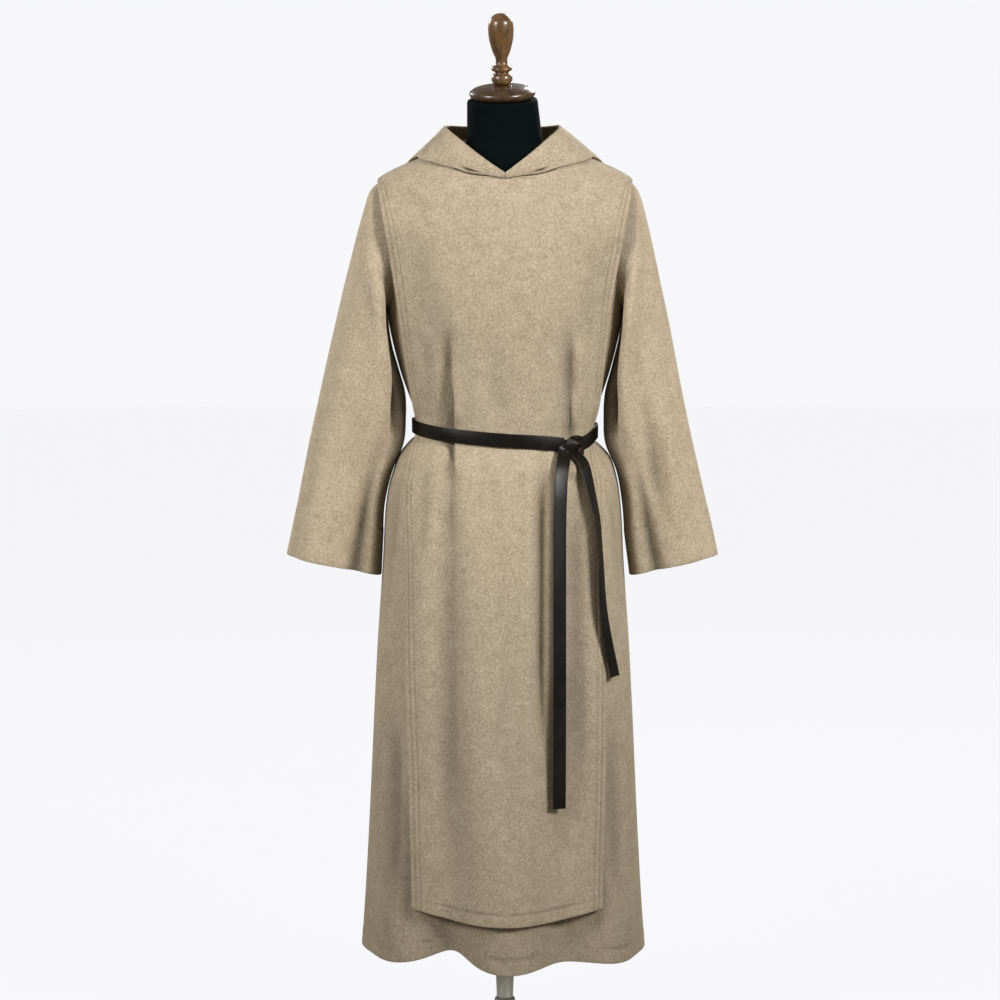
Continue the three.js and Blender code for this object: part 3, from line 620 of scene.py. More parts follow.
def unevenness(x, z, seed, size):
    """The slight waviness of heavy wool that has hung for a while."""
    random = np.random.default_rng(seed)
    total = np.zeros(np.broadcast(x, z).shape)
    for _ in range(9):
        wavelength = random.uniform(70, 210)
        heading = random.normal(0, 0.5)
        phase = random.uniform(0, 2 * math.pi)
        run = x * math.cos(heading) + z * math.sin(heading) * 0.45
        total += np.sin(2 * math.pi * run / wavelength + phase)
    return total * size / 3


def free_of_belt(angle, height, calm=14, reach=34):
    """1 where creases are free, and 0 under the belt."""
    return smoothstep(np.abs(height - belt_middle(angle)), calm, reach)


# ---------------------------------------------------------------- meshes


def mesh_object(name, vertices, faces, material, fields=None):
    """A smooth mesh from points in millimetres and its faces' corners, with values at the points."""
    faces = np.asarray(faces, np.int32)
    corners = faces.shape[1]
    mesh = bpy.data.meshes.new(name)
    mesh.vertices.add(len(vertices))
    mesh.vertices.foreach_set("co", (np.asarray(vertices) * MM).astype(np.float32).ravel())
    mesh.loops.add(faces.size)
    mesh.loops.foreach_set("vertex_index", faces.ravel())
    mesh.polygons.add(len(faces))
    mesh.polygons.foreach_set("loop_start", np.arange(len(faces), dtype=np.int32) * corners)
    mesh.polygons.foreach_set("use_smooth", np.ones(len(faces), bool))
    for key, values in (fields or {}).items():
        attribute = mesh.attributes.new(key, "FLOAT", "POINT")
        attribute.data.foreach_set("value", np.asarray(values, np.float32))
    mesh.update(calc_edges=True)
    mesh.validate()
    mesh.materials.append(material)
    piece = bpy.data.objects.new(name, mesh)
    bpy.context.scene.collection.objects.link(piece)
    return piece


def grid_faces(rows, columns, closed=False, first=0):
    """Four corners of each face of a grid of points."""
    r, c = np.meshgrid(
        np.arange(rows - 1), np.arange(columns if closed else columns - 1), indexing="ij"
    )
    following = (c + 1) % columns
    corners = [
        r * columns + c,
        (r + 1) * columns + c,
        (r + 1) * columns + following,
        r * columns + following,
    ]
    return first + np.stack(corners, axis=-1).reshape(-1, 4)


def surface_tree(grid, closed=False):
    """The outer face of a layer, to be asked for its nearest place."""
    faces = grid_faces(*grid.shape[:2], closed)
    return BVHTree.FromPolygons(grid.reshape(-1, 3).tolist(), faces.tolist())


def kept_off(points, under, gap):
    """Points moved out wherever they come nearer than a gap to the layer under them."""
    flat = points.reshape(-1, 3).copy()
    for i, point in enumerate(flat):
        place, normal, _, _ = under.find_nearest(point.tolist())
        short = gap - (point - np.array(place)) @ np.array(normal)
        if short > 0:
            flat[i] = point + np.array(normal) * short
    return flat.reshape(points.shape)


RIM_STEPS = 3


def rim(outer, inner, loop, outwards, first, flat_outer, flat_inner):
    """Points and faces of a rounded edge that joins two layers round a closed loop of indices."""
    count = len(loop)
    a, b = flat_outer[loop], flat_inner[loop]
    middle, half = (a + b) / 2, (a - b) / 2
    reach = np.linalg.norm(half, axis=-1, keepdims=True)
    turns = [math.pi * (k + 1) / (RIM_STEPS + 1) for k in range(RIM_STEPS)]
    points = [middle + half * math.cos(t) + outwards * reach * math.sin(t) for t in turns]
    ids = [outer + loop]
    ids += [first + k * count + np.arange(count) for k in range(RIM_STEPS)]
    ids += [inner + loop]
    faces = []
    for near, far in zip(ids, ids[1:]):
        faces.append(np.stack([near, far, np.roll(far, -1), np.roll(near, -1)], axis=-1))
    return np.concatenate(points), np.concatenate(faces)


def shell(name, outer, thickness, material, closed=False, fields=None, flipped=False):
    """A thin closed wall of cloth under a grid of outer points, with rounded edges.

    `thickness` is one number or a grid of them. Columns run so that the outer face looks out.
    """
    rows, columns = outer.shape[:2]
    normals = grid_normals(outer, closed) * (-1 if flipped else 1)
    thickness = np.broadcast_to(np.asarray(thickness, float), (rows, columns))
    half = thickness[..., None] / 2
    tops = unit(outer[0] - outer[1])
    bottoms = unit(outer[-1] - outer[-2])
    outer = outer.copy()
    sides = None
    if not closed:
        sides = unit(outer[:, 0] - outer[:, 1]), unit(outer[:, -1] - outer[:, -2])
        outer[:, 0] -= sides[0] * half[:, 0]
        outer[:, -1] -= sides[1] * half[:, -1]
    outer[0] -= tops * half[0]
    outer[-1] -= bottoms * half[-1]
    inner = outer - normals * thickness[..., None]
    count = rows * columns
    flat_outer, flat_inner = outer.reshape(-1, 3), inner.reshape(-1, 3)
    vertices = [flat_outer, flat_inner]
    faces = [grid_faces(rows, columns, closed)]
    faces.append(grid_faces(rows, columns, closed, count)[:, ::-1])
    index = np.arange(count).reshape(rows, columns)
    if closed:
        loops = [(index[0], tops), (index[-1][::-1], bottoms[::-1])]
    else:
        left_corner = unit(tops[0] + sides[0][0])[None]
        right_corner = unit(tops[-1] + sides[1][0])[None]
        low_right = unit(bottoms[-1] + sides[1][-1])[None]
        low_left = unit(bottoms[0] + sides[0][-1])[None]
        loop = np.concatenate(
            [index[0], index[1:-1, -1], index[-1][::-1], index[1:-1, 0][::-1]]
        )
        directions = np.concatenate(
            [
                left_corner,
                tops[1:-1],
                right_corner,
                sides[1][1:-1],
                low_right,
                bottoms[1:-1][::-1],
                low_left,
                sides[0][1:-1][::-1],
            ]
        )
        loops = [(loop, directions)]
    first = 2 * count
    rims = []
    for loop, directions in loops:
        points, ring_faces = rim(0, count, loop, directions, first, flat_outer, flat_inner)
        vertices.append(points)
        faces.append(ring_faces[:, ::-1])
        rims.append(np.tile(loop, RIM_STEPS))
        first += len(points)
    faces = np.concatenate(faces)
    if flipped:
        faces = faces[:, ::-1]
    source = np.concatenate([np.arange(count), np.arange(count), *rims])
    values = {
        key: np.broadcast_to(field, (rows, columns)).ravel()[source]
        for key, field in (fields or {}).items()
    }
    return mesh_object(name, np.concatenate(vertices), faces, material, values)


STRAP_CORNER = 0.9  # radius of the straps' long edges
CORNER_STEPS = 4


def swept(name, middles, across, width, thickness, material):
    """A flat strap with rounded edges along middle points, given its width's direction."""
    middles, across = np.asarray(middles, float), np.asarray(across, float)
    run = unit(np.gradient(middles, axis=0))
    across = unit(across - run * np.sum(across * run, axis=-1, keepdims=True))
    face = unit(np.cross(run, across))
    width = np.broadcast_to(width, len(middles))
    thickness = np.broadcast_to(thickness, len(middles))
    rings, edge = [], []
    for start, a, f in ((0, 1, 1), (90, -1, 1), (180, -1, -1), (270, 1, -1)):
        for k in range(CORNER_STEPS):
            turn = math.radians(start + 90 / (CORNER_STEPS - 1) * k)
            edge.append(math.cos(turn) ** 2)
            u = a * (width / 2 - STRAP_CORNER) + STRAP_CORNER * math.cos(turn)
            v = f * (thickness / 2 - STRAP_CORNER) + STRAP_CORNER * math.sin(turn)
            rings.append(middles + across * u[:, None] + face * v[:, None])
    grid = np.stack(rings, axis=1)
    rows, columns = grid.shape[:2]
    vertices = grid.reshape(-1, 3)
    faces = [grid_faces(rows, columns, True)]
    k = np.arange(columns // 2 - 1)
    end = np.stack([k, k + 1, columns - 2 - k, columns - 1 - k], axis=-1)
    faces += [end, end[:, ::-1] + (rows - 1) * columns]
    edges = {"cut_edge": np.tile(edge, rows)}
    return mesh_object(name, vertices, np.concatenate(faces), material, edges)


def joined(name, pieces):
    """Several mesh objects as one."""
    bpy.ops.object.select_all(action="DESELECT")
    for piece in pieces:
        piece.select_set(True)
    bpy.context.view_layer.objects.active = pieces[0]
    bpy.ops.object.join()
    pieces[0].name = name
    pieces[0].data.name = name
    return pieces[0]


def placed(piece, slot, *nodes):
    """Rides on the one body and stands for CAD nodes; the slot is not used."""
    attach(piece, "root")
    if nodes:
        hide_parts(*nodes)
    return piece


# ---------------------------------------------------------------- materials


class Nodes:
    """A small helper that adds and links shader nodes."""

    def __init__(self, name):
        self.material = bpy.data.materials.new(name)
        self.material.use_nodes = True
        self.tree = self.material.node_tree
        self.tree.nodes.clear()
        self.output = self.add("ShaderNodeOutputMaterial")
        self.shader = self.add("ShaderNodeBsdfPrincipled")
        self.link(self.shader.outputs[0], self.output.inputs["Surface"])
        self.place = self.add("ShaderNodeTexCoord").outputs["Object"]

    def add(self, kind, **settings):
        node = self.tree.nodes.new(kind)
        for key, value in settings.items():
            setattr(node, key, value)
        return node

    def link(self, source, target):
        self.tree.links.new(source, target)

    def set(self, **values):
        for key, value in values.items():
            self.shader.inputs[key.replace("_", " ")].default_value = value

    def noise(self, scale, detail=2.0, roughness=0.5, stretch=None):
        node = self.add("ShaderNodeTexNoise")
        node.inputs["Scale"].default_value = scale
        node.inputs["Detail"].default_value = detail
        node.inputs["Roughness"].default_value = roughness
        source = self.place
        if stretch is not None:
            mapping = self.add("ShaderNodeMapping")
            mapping.inputs["Scale"].default_value = stretch
            self.link(self.place, mapping.inputs["Vector"])
            source = mapping.outputs[0]
        self.link(source, node.inputs["Vector"])
        return node.outputs["Fac"]

    def maths(self, operation, a, b, clamped=False):
        node = self.add("ShaderNodeMath", operation=operation, use_clamp=clamped)
        for socket, value in zip(node.inputs, (a, b)):
            if isinstance(value, (int, float)):
                socket.default_value = value
            else:
                self.link(value, socket)
        return node.outputs[0]

    def weighed(self, *parts):
        """The sum of fields, each times its weight."""
        first, *others = [self.maths("MULTIPLY", field, weight) for field, weight in parts]
        total = first
        for product in others:
            total = self.maths("ADD", total, product)
        return total

    def ramp(self, factor, stops):
        node = self.add("ShaderNodeValToRGB")
        elements = node.color_ramp.elements
        while len(elements) < len(stops):
            elements.new(0.5)
        for element, (place, colour) in zip(elements, stops):
            element.position = place
            element.color = (*colour, 1)
        self.link(factor, node.inputs[0])
        return node.outputs[0]

    def between(self, factor, low, high, from_low, from_high):
        node = self.add("ShaderNodeMapRange", clamp=True)
        for key, value in zip(
            ("From Min", "From Max", "To Min", "To Max"), (from_low, from_high, low, high)
        ):
            node.inputs[key].default_value = value
        self.link(factor, node.inputs["Value"])
        return node.outputs[0]

    def blended(self, factor, a, b, kind="MIX"):
        node = self.add("ShaderNodeMix", data_type="RGBA", blend_type=kind)
        node.inputs["Factor"].default_value = 1
        for socket, value in zip((node.inputs[0], node.inputs[6], node.inputs[7]), (factor, a, b)):
            if isinstance(value, (int, float)):
                socket.default_value = value
            elif isinstance(value, tuple):
                socket.default_value = (*value, 1)
            else:
                self.link(value, socket)
        return node.outputs[2]

    def attribute(self, name):
        return self.add("ShaderNodeAttribute", attribute_name=name).outputs["Fac"]

    def bump(self, height, distance, strength=1.0, under=None):
        node = self.add("ShaderNodeBump")
        node.inputs["Distance"].default_value = distance
        node.inputs["Strength"].default_value = strength
        self.link(height, node.inputs["Height"])
        if under is not None:
            self.link(under, node.inputs["Normal"])
        return node.outputs[0]

    def finish(self, colour=None, normal=None, roughness=None):
        for source, key in ((colour, "Base Color"), (normal, "Normal"), (roughness, "Roughness")):
            if source is not None:
                self.link(source, self.shader.inputs[key])
        return self.material


WOOL_DARK = (0.262, 0.203, 0.130)
WOOL_MID = (0.443, 0.363, 0.257)
WOOL_LIGHT = (0.640, 0.548, 0.412)


def wool_material(name, tint=1.0, grain=(1.0, 1.0, 0.7)):
    """Heathered, felted wool: flecks of light and dark fibre, and a fine nap."""
    n = Nodes(name)
    fleck = n.noise(560, 3, 0.62, grain)
    mottle = n.noise(300, 2, 0.55, grain)
    cloud = n.noise(46, 3, 0.5)
    yarn = n.weighed((fleck, 0.46), (mottle, 0.38), (cloud, 0.16))
    dark, middle, light = (tuple(tint * c for c in wool) for wool in (WOOL_DARK, WOOL_MID, WOOL_LIGHT))
    colour = n.ramp(yarn, [(0.30, dark), (0.50, middle), (0.70, light)])
    nap = n.noise(900, 4, 0.7, grain)
    normal = n.bump(n.maths("ADD", nap, mottle), 0.0010, 0.5)
    groove = n.maths("SUBTRACT", 1.0, n.attribute("stitch_line"), True)
    normal = n.bump(groove, 0.0012, 0.8, normal)
    # painted shade: the wool's colour is darkened by 16% along the stitch grooves
    lines = n.maths("MULTIPLY", n.attribute("stitch_line"), 0.16)
    # painted shade: the fold_shade attribute darkens the wool's colour by up to 60% in folds, low on
    # the skirt and on the sleeves' inner sides
    folds = n.maths("MULTIPLY", n.attribute("fold_shade"), 0.6)
    shade = n.maths("SUBTRACT", n.maths("SUBTRACT", 1.0, lines), folds, True)
    colour = n.blended(1.0, colour, n.ramp(shade, [(0, (0, 0, 0)), (1, (1, 1, 1))]), "MULTIPLY")
    n.set(Roughness=0.96, Sheen_Weight=0.1, Sheen_Roughness=0.5, Specular_IOR_Level=0.15)
    n.shader.inputs["Sheen Tint"].default_value = (0.86, 0.74, 0.56, 1)
    return n.finish(colour, normal)


def thread_material():
    n = Nodes("wool_thread")
    twist = n.noise(900, 2)
    colour = n.ramp(twist, [(0.3, (0.30, 0.23, 0.15)), (0.7, (0.42, 0.33, 0.22))])
    n.set(Roughness=0.85, Specular_IOR_Level=0.25)
    return n.finish(colour, n.bump(twist, 0.0004, 0.5))


def leather_material():
    """Smooth dark brown belt leather with a fine grain, rubbed a little lighter in places."""
    n = Nodes("belt_leather")
    grain = n.noise(760, 3, 0.6)
    cell = n.add("ShaderNodeTexVoronoi")
    cell.inputs["Scale"].default_value = 820
    n.link(n.place, cell.inputs["Vector"])
    wear = n.noise(38, 3, 0.6)
    colour = n.ramp(
        n.weighed((wear, 0.7), (grain, 0.3)),
        [
            (0.32, (0.0046, 0.0036, 0.0028)),
            (0.55, (0.0070, 0.0055, 0.0042)),
            (0.75, (0.014, 0.0105, 0.0075)),
        ],
    )
    raw = n.maths("MULTIPLY", n.attribute("cut_edge"), n.between(wear, 0.3, 0.9, 0.35, 0.65))
    colour = n.blended(raw, colour, (0.075, 0.048, 0.030))
    height = n.maths("ADD", n.maths("MULTIPLY", cell.outputs["Distance"], 0.6), grain)
    roughness = n.between(wear, 0.28, 0.42, 0.3, 0.7)
    n.set(Specular_IOR_Level=0.27)
    return n.finish(colour, n.bump(height, 0.0004, 0.45), roughness)


def jersey_material():
    """Black knitted cover of the form, with fine upright wales."""
    n = Nodes("form_jersey")
    wale = n.add("ShaderNodeTexWave", wave_type="BANDS", bands_direction="X")
    wale.inputs["Scale"].default_value = 240
    wale.inputs["Distortion"].default_value = 1.5
    n.link(n.place, wale.inputs["Vector"])
    lint = n.noise(420, 3, 0.7)
    cloud = n.noise(22, 2)
    colour = n.ramp(
        n.weighed((lint, 0.5), (cloud, 0.5)),
        [(0.3, (0.0014, 0.0030, 0.0031)), (0.7, (0.0032, 0.0058, 0.0060))],
    )
    height = n.maths("ADD", n.maths("MULTIPLY", wale.outputs["Fac"], 0.5), lint)
    n.set(Roughness=0.9, Specular_IOR_Level=0.05)
    return n.finish(colour, n.bump(height, 0.0005, 0.5))


def wood_material(name, dark, light, stretch):
    """Turned walnut under lacquer, its grain along the lathe's axis."""
    n = Nodes(name)
    grain = n.noise(46, 5, 0.6, stretch)
    streak = n.noise(210, 3, 0.55, stretch)
    figure = n.weighed((grain, 0.65), (streak, 0.35))
    middle = tuple((a + b) / 2 for a, b in zip(dark, light))
    colour = n.ramp(figure, [(0.34, dark), (0.52, middle), (0.68, light)])
    n.set(Roughness=0.34, Coat_Weight=0.55, Coat_Roughness=0.12, Specular_IOR_Level=0.5)
    return n.finish(colour, n.bump(figure, 0.0004, 0.25))


def steel_material(name, stretch):
    """Brushed steel."""
    n = Nodes(name)
    brush = n.noise(320, 3, 0.7, stretch)
    smear = n.noise(18, 2)
    colour = n.ramp(brush, [(0.3, (0.56, 0.56, 0.51)), (0.7, (0.70, 0.70, 0.65))])
    roughness = n.between(n.maths("ADD", brush, smear), 0.30, 0.46, 0.7, 1.3)
    n.set(Metallic=0.2)
    return n.finish(colour, n.bump(brush, 0.0002, 0.25), roughness)


WOOL = wool_material("wool_tunic", 0.97)
# painted light: the sleeves get a lighter copy of the same wool (tint 1.09) for the light that falls
# on them
WOOL_SLEEVE_PAINTED_LIGHT = wool_material("wool_sleeves_painted_light", 1.09)
WOOL_OVER = wool_material("wool_scapular")
WOOL_HOOD = wool_material("wool_hood", 1.0, (0.8, 0.8, 0.8))
THREAD = thread_material()
LEATHER = leather_material()
JERSEY = jersey_material()
WALNUT = wood_material("walnut_cap", (0.022, 0.012, 0.006), (0.105, 0.055, 0.024), (1, 1, 0.3))
GOLDEN = wood_material("walnut_finial", (0.040, 0.017, 0.006), (0.230, 0.120, 0.040), (1, 1, 0.16))
STEEL = steel_material("pole_steel", (1, 1, 0.04))
BASE_STEEL = steel_material("base_steel", (1, 1, 1))

# ---------------------------------------------------------------- stitching

STITCH = 3.4  # length of a stitch and its gap
STITCH_SHARE = 0.68  # of that length, what the stitch takes
THREAD_RADIUS = 0.42
STITCH_ENDS_IN = 0.1  # how deep a stitch's ends lie in the cloth
GROOVE = 1.3  # half the width of the line that a row of stitches presses into the wool


def stitch_lines(distance, places):
    """1 along rows of stitches, at these distances from an edge, and 0 away from them."""
    total = 0
    for place in places:
        total = total + bell(distance - place, GROOVE)
    return np.clip(total, 0, 1)


def stitches(name, path, outwards):
    """A row of short raised stitches along a line of points on the cloth."""
    lengths = np.concatenate([[0], np.cumsum(np.linalg.norm(np.diff(path, axis=0), axis=1))])
    count = max(int(lengths[-1] / STITCH), 2)
    starts = (np.arange(count) + 0.2) * STITCH

    def at(values, places):
        return np.stack([np.interp(places, lengths, values[:, k]) for k in range(3)], axis=-1)

    a, b = at(path, starts), at(path, starts + STITCH_SHARE * STITCH)
    normal = unit(at(outwards, starts))
    run = unit(b - a)
    side = np.cross(normal, run) * THREAD_RADIUS
    middle = (a + b) / 2
    lift = normal * THREAD_RADIUS
    a, b = a - normal * STITCH_ENDS_IN, b - normal * STITCH_ENDS_IN
    points = [a, middle + side, b, middle - side, middle + lift]
    vertices = np.stack(points, axis=1).reshape(-1, 3)
    base = 5 * np.arange(count)[:, None]
    corners = [[0, 1, 4], [1, 2, 4], [2, 3, 4], [3, 0, 4], [1, 0, 3], [1, 3, 2]]
    faces = np.concatenate([base + np.array([row]) for row in corners])
    return mesh_object(name, vertices, faces, THREAD)


def line_on(grid, distance, place, along_rows):
    """A line of points on a grid where a distance from an edge has one value.

    `along_rows` is True for a line that crosses the rows, found on each of them.
    """
    if not along_rows:
        grid, distance = np.swapaxes(grid, 0, 1), distance.T
    found = []
    for points, values in zip(grid, distance):
        order = np.argsort(values)
        found.append([np.interp(place, values[order], points[order, k]) for k in range(3)])
    return np.array(found)


# ---------------------------------------------------------------- tunic

PANEL_COLUMNS = 135
HEM_DEPTH = 27
HEM_WAVES_FROM = 260  # below this row, rows bend towards the hem's waves
SUNK = 10  # how far the tunic lies in under the scapular, where the form leaves it room
TUNIC_ROW_STEP = 6.2


def side_name(side):
    """-1 is the wearer's right and 1 the left."""
    return "right" if side < 0 else "left"


def even_rows(top, bottom, step):
    return np.linspace(top, bottom, int(round((top - bottom) / step)) + 1)


def tunic_panel(side, hand_folds, seed, form_tree):
    """One panel of the tunic, from its neckline and shoulders to the hem."""
    facing = 0.0 if side == "front" else math.pi
    shoulder = even_rows(TOP_ROW, SHOULDER_TIP, 3.4)
    rows = np.concatenate([shoulder, even_rows(SHOULDER_TIP - 4, TUNIC_HEM, TUNIC_ROW_STEP)])
    u = np.linspace(-1, 1, PANEL_COLUMNS)[None, :]
    row = rows[:, None] + 0 * u
    angle = facing + u * tunic_edge(row, side)
    height = crowded(row, angle)
    last = smoothstep(row, HEM_WAVES_FROM, TUNIC_HEM)
    height = mix(height, height - TUNIC_HEM + hem_height(angle), last)
    points = offset(tunic_inner, angle, height, TUNIC_CLOTH)
    x = points[..., 0]
    free = free_of_belt(angle, height, 16, 60)
    shown = 0.25 + 0.75 * smoothstep(np.abs(x), 120, 185) + smoothstep(height, LOW_SKIRT, 240)
    push = creases(hand_folds, x, height) + unevenness(x, height, seed, 1.0)
    push = push * np.clip(shown, 0, 1) * free * smoothstep(height, TOP_ROW, SHOULDER_CALM)
    push = push * (1 - 0.9 * smoothstep(np.abs(u), 0.72, 0.95))
    covered = smoothstep(np.abs(x), 165, 138) * smoothstep(height, 300, 345)
    push = push - SUNK * covered * smoothstep(height, 1420, 1340)
    normals = outward(tunic_inner, angle, height)
    points = moved(points, normals, push)
    from_hem = from_last_row(points)
    from_side = from_sides(points)
    doubled = 0.5 * turned_in(from_hem, HEM_DEPTH)
    points = moved(points, normals, doubled)
    seam = np.where(height < UNDERARM, 1 - smoothstep(from_side, 0, 5), 0)
    points = moved(points, normals, -0.8 * seam)
    points = kept_off(points, form_tree, TUNIC_CLOTH + LAYER_GAP)
    marks = stitch_lines(from_hem, [HEM_DEPTH])
    # painted shade: the tunic's colour darkened towards the hem, added to its painted fold and falloff
    # shade
    painted_hem_shade = 0.12 * smoothstep(height, LOW_SKIRT, 235)
    shade = fold_shade(push + SUNK * covered) + painted_falloff_shade(height) + painted_hem_shade
    fields = {"stitch_line": marks, "fold_shade": shade}
    panel = shell(f"tunic_{side}_cloth", points, TUNIC_CLOTH, WOOL, fields=fields)
    placed(panel, "wool", f"tunic_{side}")
    line = line_on(points, from_hem, HEM_DEPTH, False)
    away = normals[-4]
    row_of_stitches = placed(stitches(f"tunic_{side}_hem_stitches", line, away), "wool")
    return (panel, row_of_stitches), surface_tree(points)


# ---------------------------------------------------------------- sleeves


def armhole_loop(side, turns):
    """The armhole's edge on the tunic's outer face, from the shoulder tip round by the front."""
    turns = np.asarray(turns)
    height = mix(SHOULDER_TIP, UNDERARM, (1 - np.cos(turns)) / 2)
    front = side * tunic_edge(height, "front")
    back = side * (math.pi - tunic_edge(height, "back"))
    angle = np.where(turns <= math.pi, front, back)
    angle = np.where(np.isclose(np.sin(turns), 0, atol=1e-6), side * math.pi / 2, angle)
    points = tunic_inner(angle, height)
    normal = outward(tunic_inner, angle, height)
    run = unit(np.roll(points, -1, axis=0) - np.roll(points, 1, axis=0))
    off = unit(np.cross(normal, run)) * side
    outer = points + off * ARMHOLE_GAP + normal * TUNIC_CLOTH
    bulge = turns / (2 * math.pi)
    lift = 12 * bulge * (1 - bulge)
    return outer, outer + off * 5 + normal * lift[:, None]


def sleeve_section(side, section, turns):
    name = side_name(side)
    outer_x = along(SLEEVE, "section", section, name + "Outer")
    inner_x = along(SLEEVE, "section", section, name + "Inner")
    top = along(SLEEVE, "section", section, "outerHeight")
    low = along(SLEEVE, "section", section, "innerHeight")
    tunic_side = side * tunic_inner(np.full_like(low, side * math.pi / 2), low)[..., 0]
    beside = tunic_side + TUNIC_CLOTH + BESIDE_GAP
    inner_x = np.maximum(inner_x - INNER_DRAW, np.minimum(inner_x, beside))
    half = along(SLEEVE, "section", section, "halfDepth")
    share = (1 + np.cos(turns)) / 2
    full = np.sign(np.sin(turns)) * np.abs(np.sin(turns)) ** SLEEVE_FULLNESS
    return stacked(side * mix(inner_x, outer_x, share), -half * full, mix(low, top, share))


SLEEVE_TURNS = 144
SLEEVE_ROWS = 144
CUFF_DEPTH = 80
SLEEVE_RADIUS = 90  # turns the angle round a sleeve into a length along it


def sleeve(side):
    """One wide sleeve, hanging from its armhole with a deep fold down its inner side."""
    name = side_name(side)
    turns = 2 * math.pi * np.arange(SLEEVE_TURNS) / SLEEVE_TURNS
    outer, led = armhole_loop(side, turns)
    coarse = [outer, led] + [sleeve_section(side, s, turns) for s in range(LAST_SECTION + 1)]
    places = np.linspace(0, len(coarse) - 1, SLEEVE_ROWS)
    points = spline(coarse, places)
    section = (places - 2)[:, None]
    push = np.zeros(points.shape[:2])
    for crease in SLEEVE_CREASES:
        if crease["side"] != side:
            continue
        t = (section - crease["top"]) / (crease["bottom"] - crease["top"])
        fade = smoothstep(t, 0, 0.35) * (1 - smoothstep(t, 0.75, 1))
        middle = np.radians(crease["turn"] + crease["drift"] * t)
        away = turns_apart(turns[None, :], middle)
        push = push + crease["depth"] * fade * bell(away, math.radians(crease["spread"]))
    girth = turns[None, :] * SLEEVE_RADIUS
    push = push + unevenness(girth, points[..., 2], 31 + side, 1.1) * smoothstep(section, 0, 2)
    inner_side = smoothstep(np.cos(turns)[None, :], -0.82, -0.97)
    # painted shade: the sleeves' inner sides, beside the body, get a darker colour
    painted_inner_shade = 1.15 * smoothstep(np.cos(turns)[None, :], -0.72, -0.95)
    push = push * (1 - 0.8 * inner_side)
    normals = grid_normals(points, True) * -side
    points = moved(points, normals, push)
    from_cuff = from_last_row(points)
    doubled = 0.6 * turned_in(from_cuff, CUFF_DEPTH)
    normals = grid_normals(points, True) * -side
    points = moved(points, normals, doubled)
    wave = 1.6 * np.sin(3 * turns + side) + 1.1 * np.sin(5 * turns + 2)
    points = moved(points, normals, wave[None, :] * smoothstep(from_cuff, 2 * CUFF_DEPTH, 0))
    from_armhole = arc_lengths(points, 0)
    marks = stitch_lines(from_cuff, [CUFF_DEPTH])
    seam = 1 - smoothstep(from_armhole, 0, 6)
    points = moved(points, normals, -0.7 * seam)
    cloth = shell(
        f"sleeve_{name}_cloth",
        points,
        TUNIC_CLOTH,
        WOOL_SLEEVE_PAINTED_LIGHT,
        closed=True,
        fields={"stitch_line": marks, "fold_shade": np.maximum(fold_shade(push), painted_inner_shade)},
        flipped=side > 0,
    )
    placed(cloth, "wool", f"sleeve_{name}")
    line = line_on(points, from_cuff, CUFF_DEPTH, False)
    line = np.concatenate([line, line[:1]])
    middle_row = int(np.argmin(np.abs(from_cuff[:, 0] - CUFF_DEPTH)))
    away = np.concatenate([normals[middle_row], normals[middle_row][:1]])
    sewn = placed(stitches(f"sleeve_{name}_cuff_stitches", line, away), "wool")
    return cloth, sewn


# ---------------------------------------------------------------- scapular

SCAPULAR_COLUMNS = 149
EDGE_STITCHES = (9.5, 18.5)
SCAPULAR_HEM_DEPTH = 21
UNSEWN_ROWS = 6  # rows under the hood's neck seam, without stitches


def scapular_points(u, row, side, distance):
    """Points of the scapular: on the tunic over the shoulders, and hanging free below them."""
    facing = (lambda a: a) if side == "front" else (lambda a: math.pi - a)
    if row >= SHOULDER_TIP:
        angle = facing(u * tunic_edge(row, side))
        height = crowded(row, angle)
        return offset(tunic_inner, angle, height, TUNIC_CLOTH + REST_GAP + distance), angle
    right, left = (along(SCAPULAR, "height", row, key) for key in ("rightEdge", "leftEdge"))
    edge = mix(right, left, smoothstep(u, -0.05, 0.05))
    half_width = along(SCAPULAR, "height", row, "halfWidth")
    angle = facing(u * np.arcsin(edge / half_width))
    return offset(scapular_hung, angle, crowded(row, angle), distance), angle


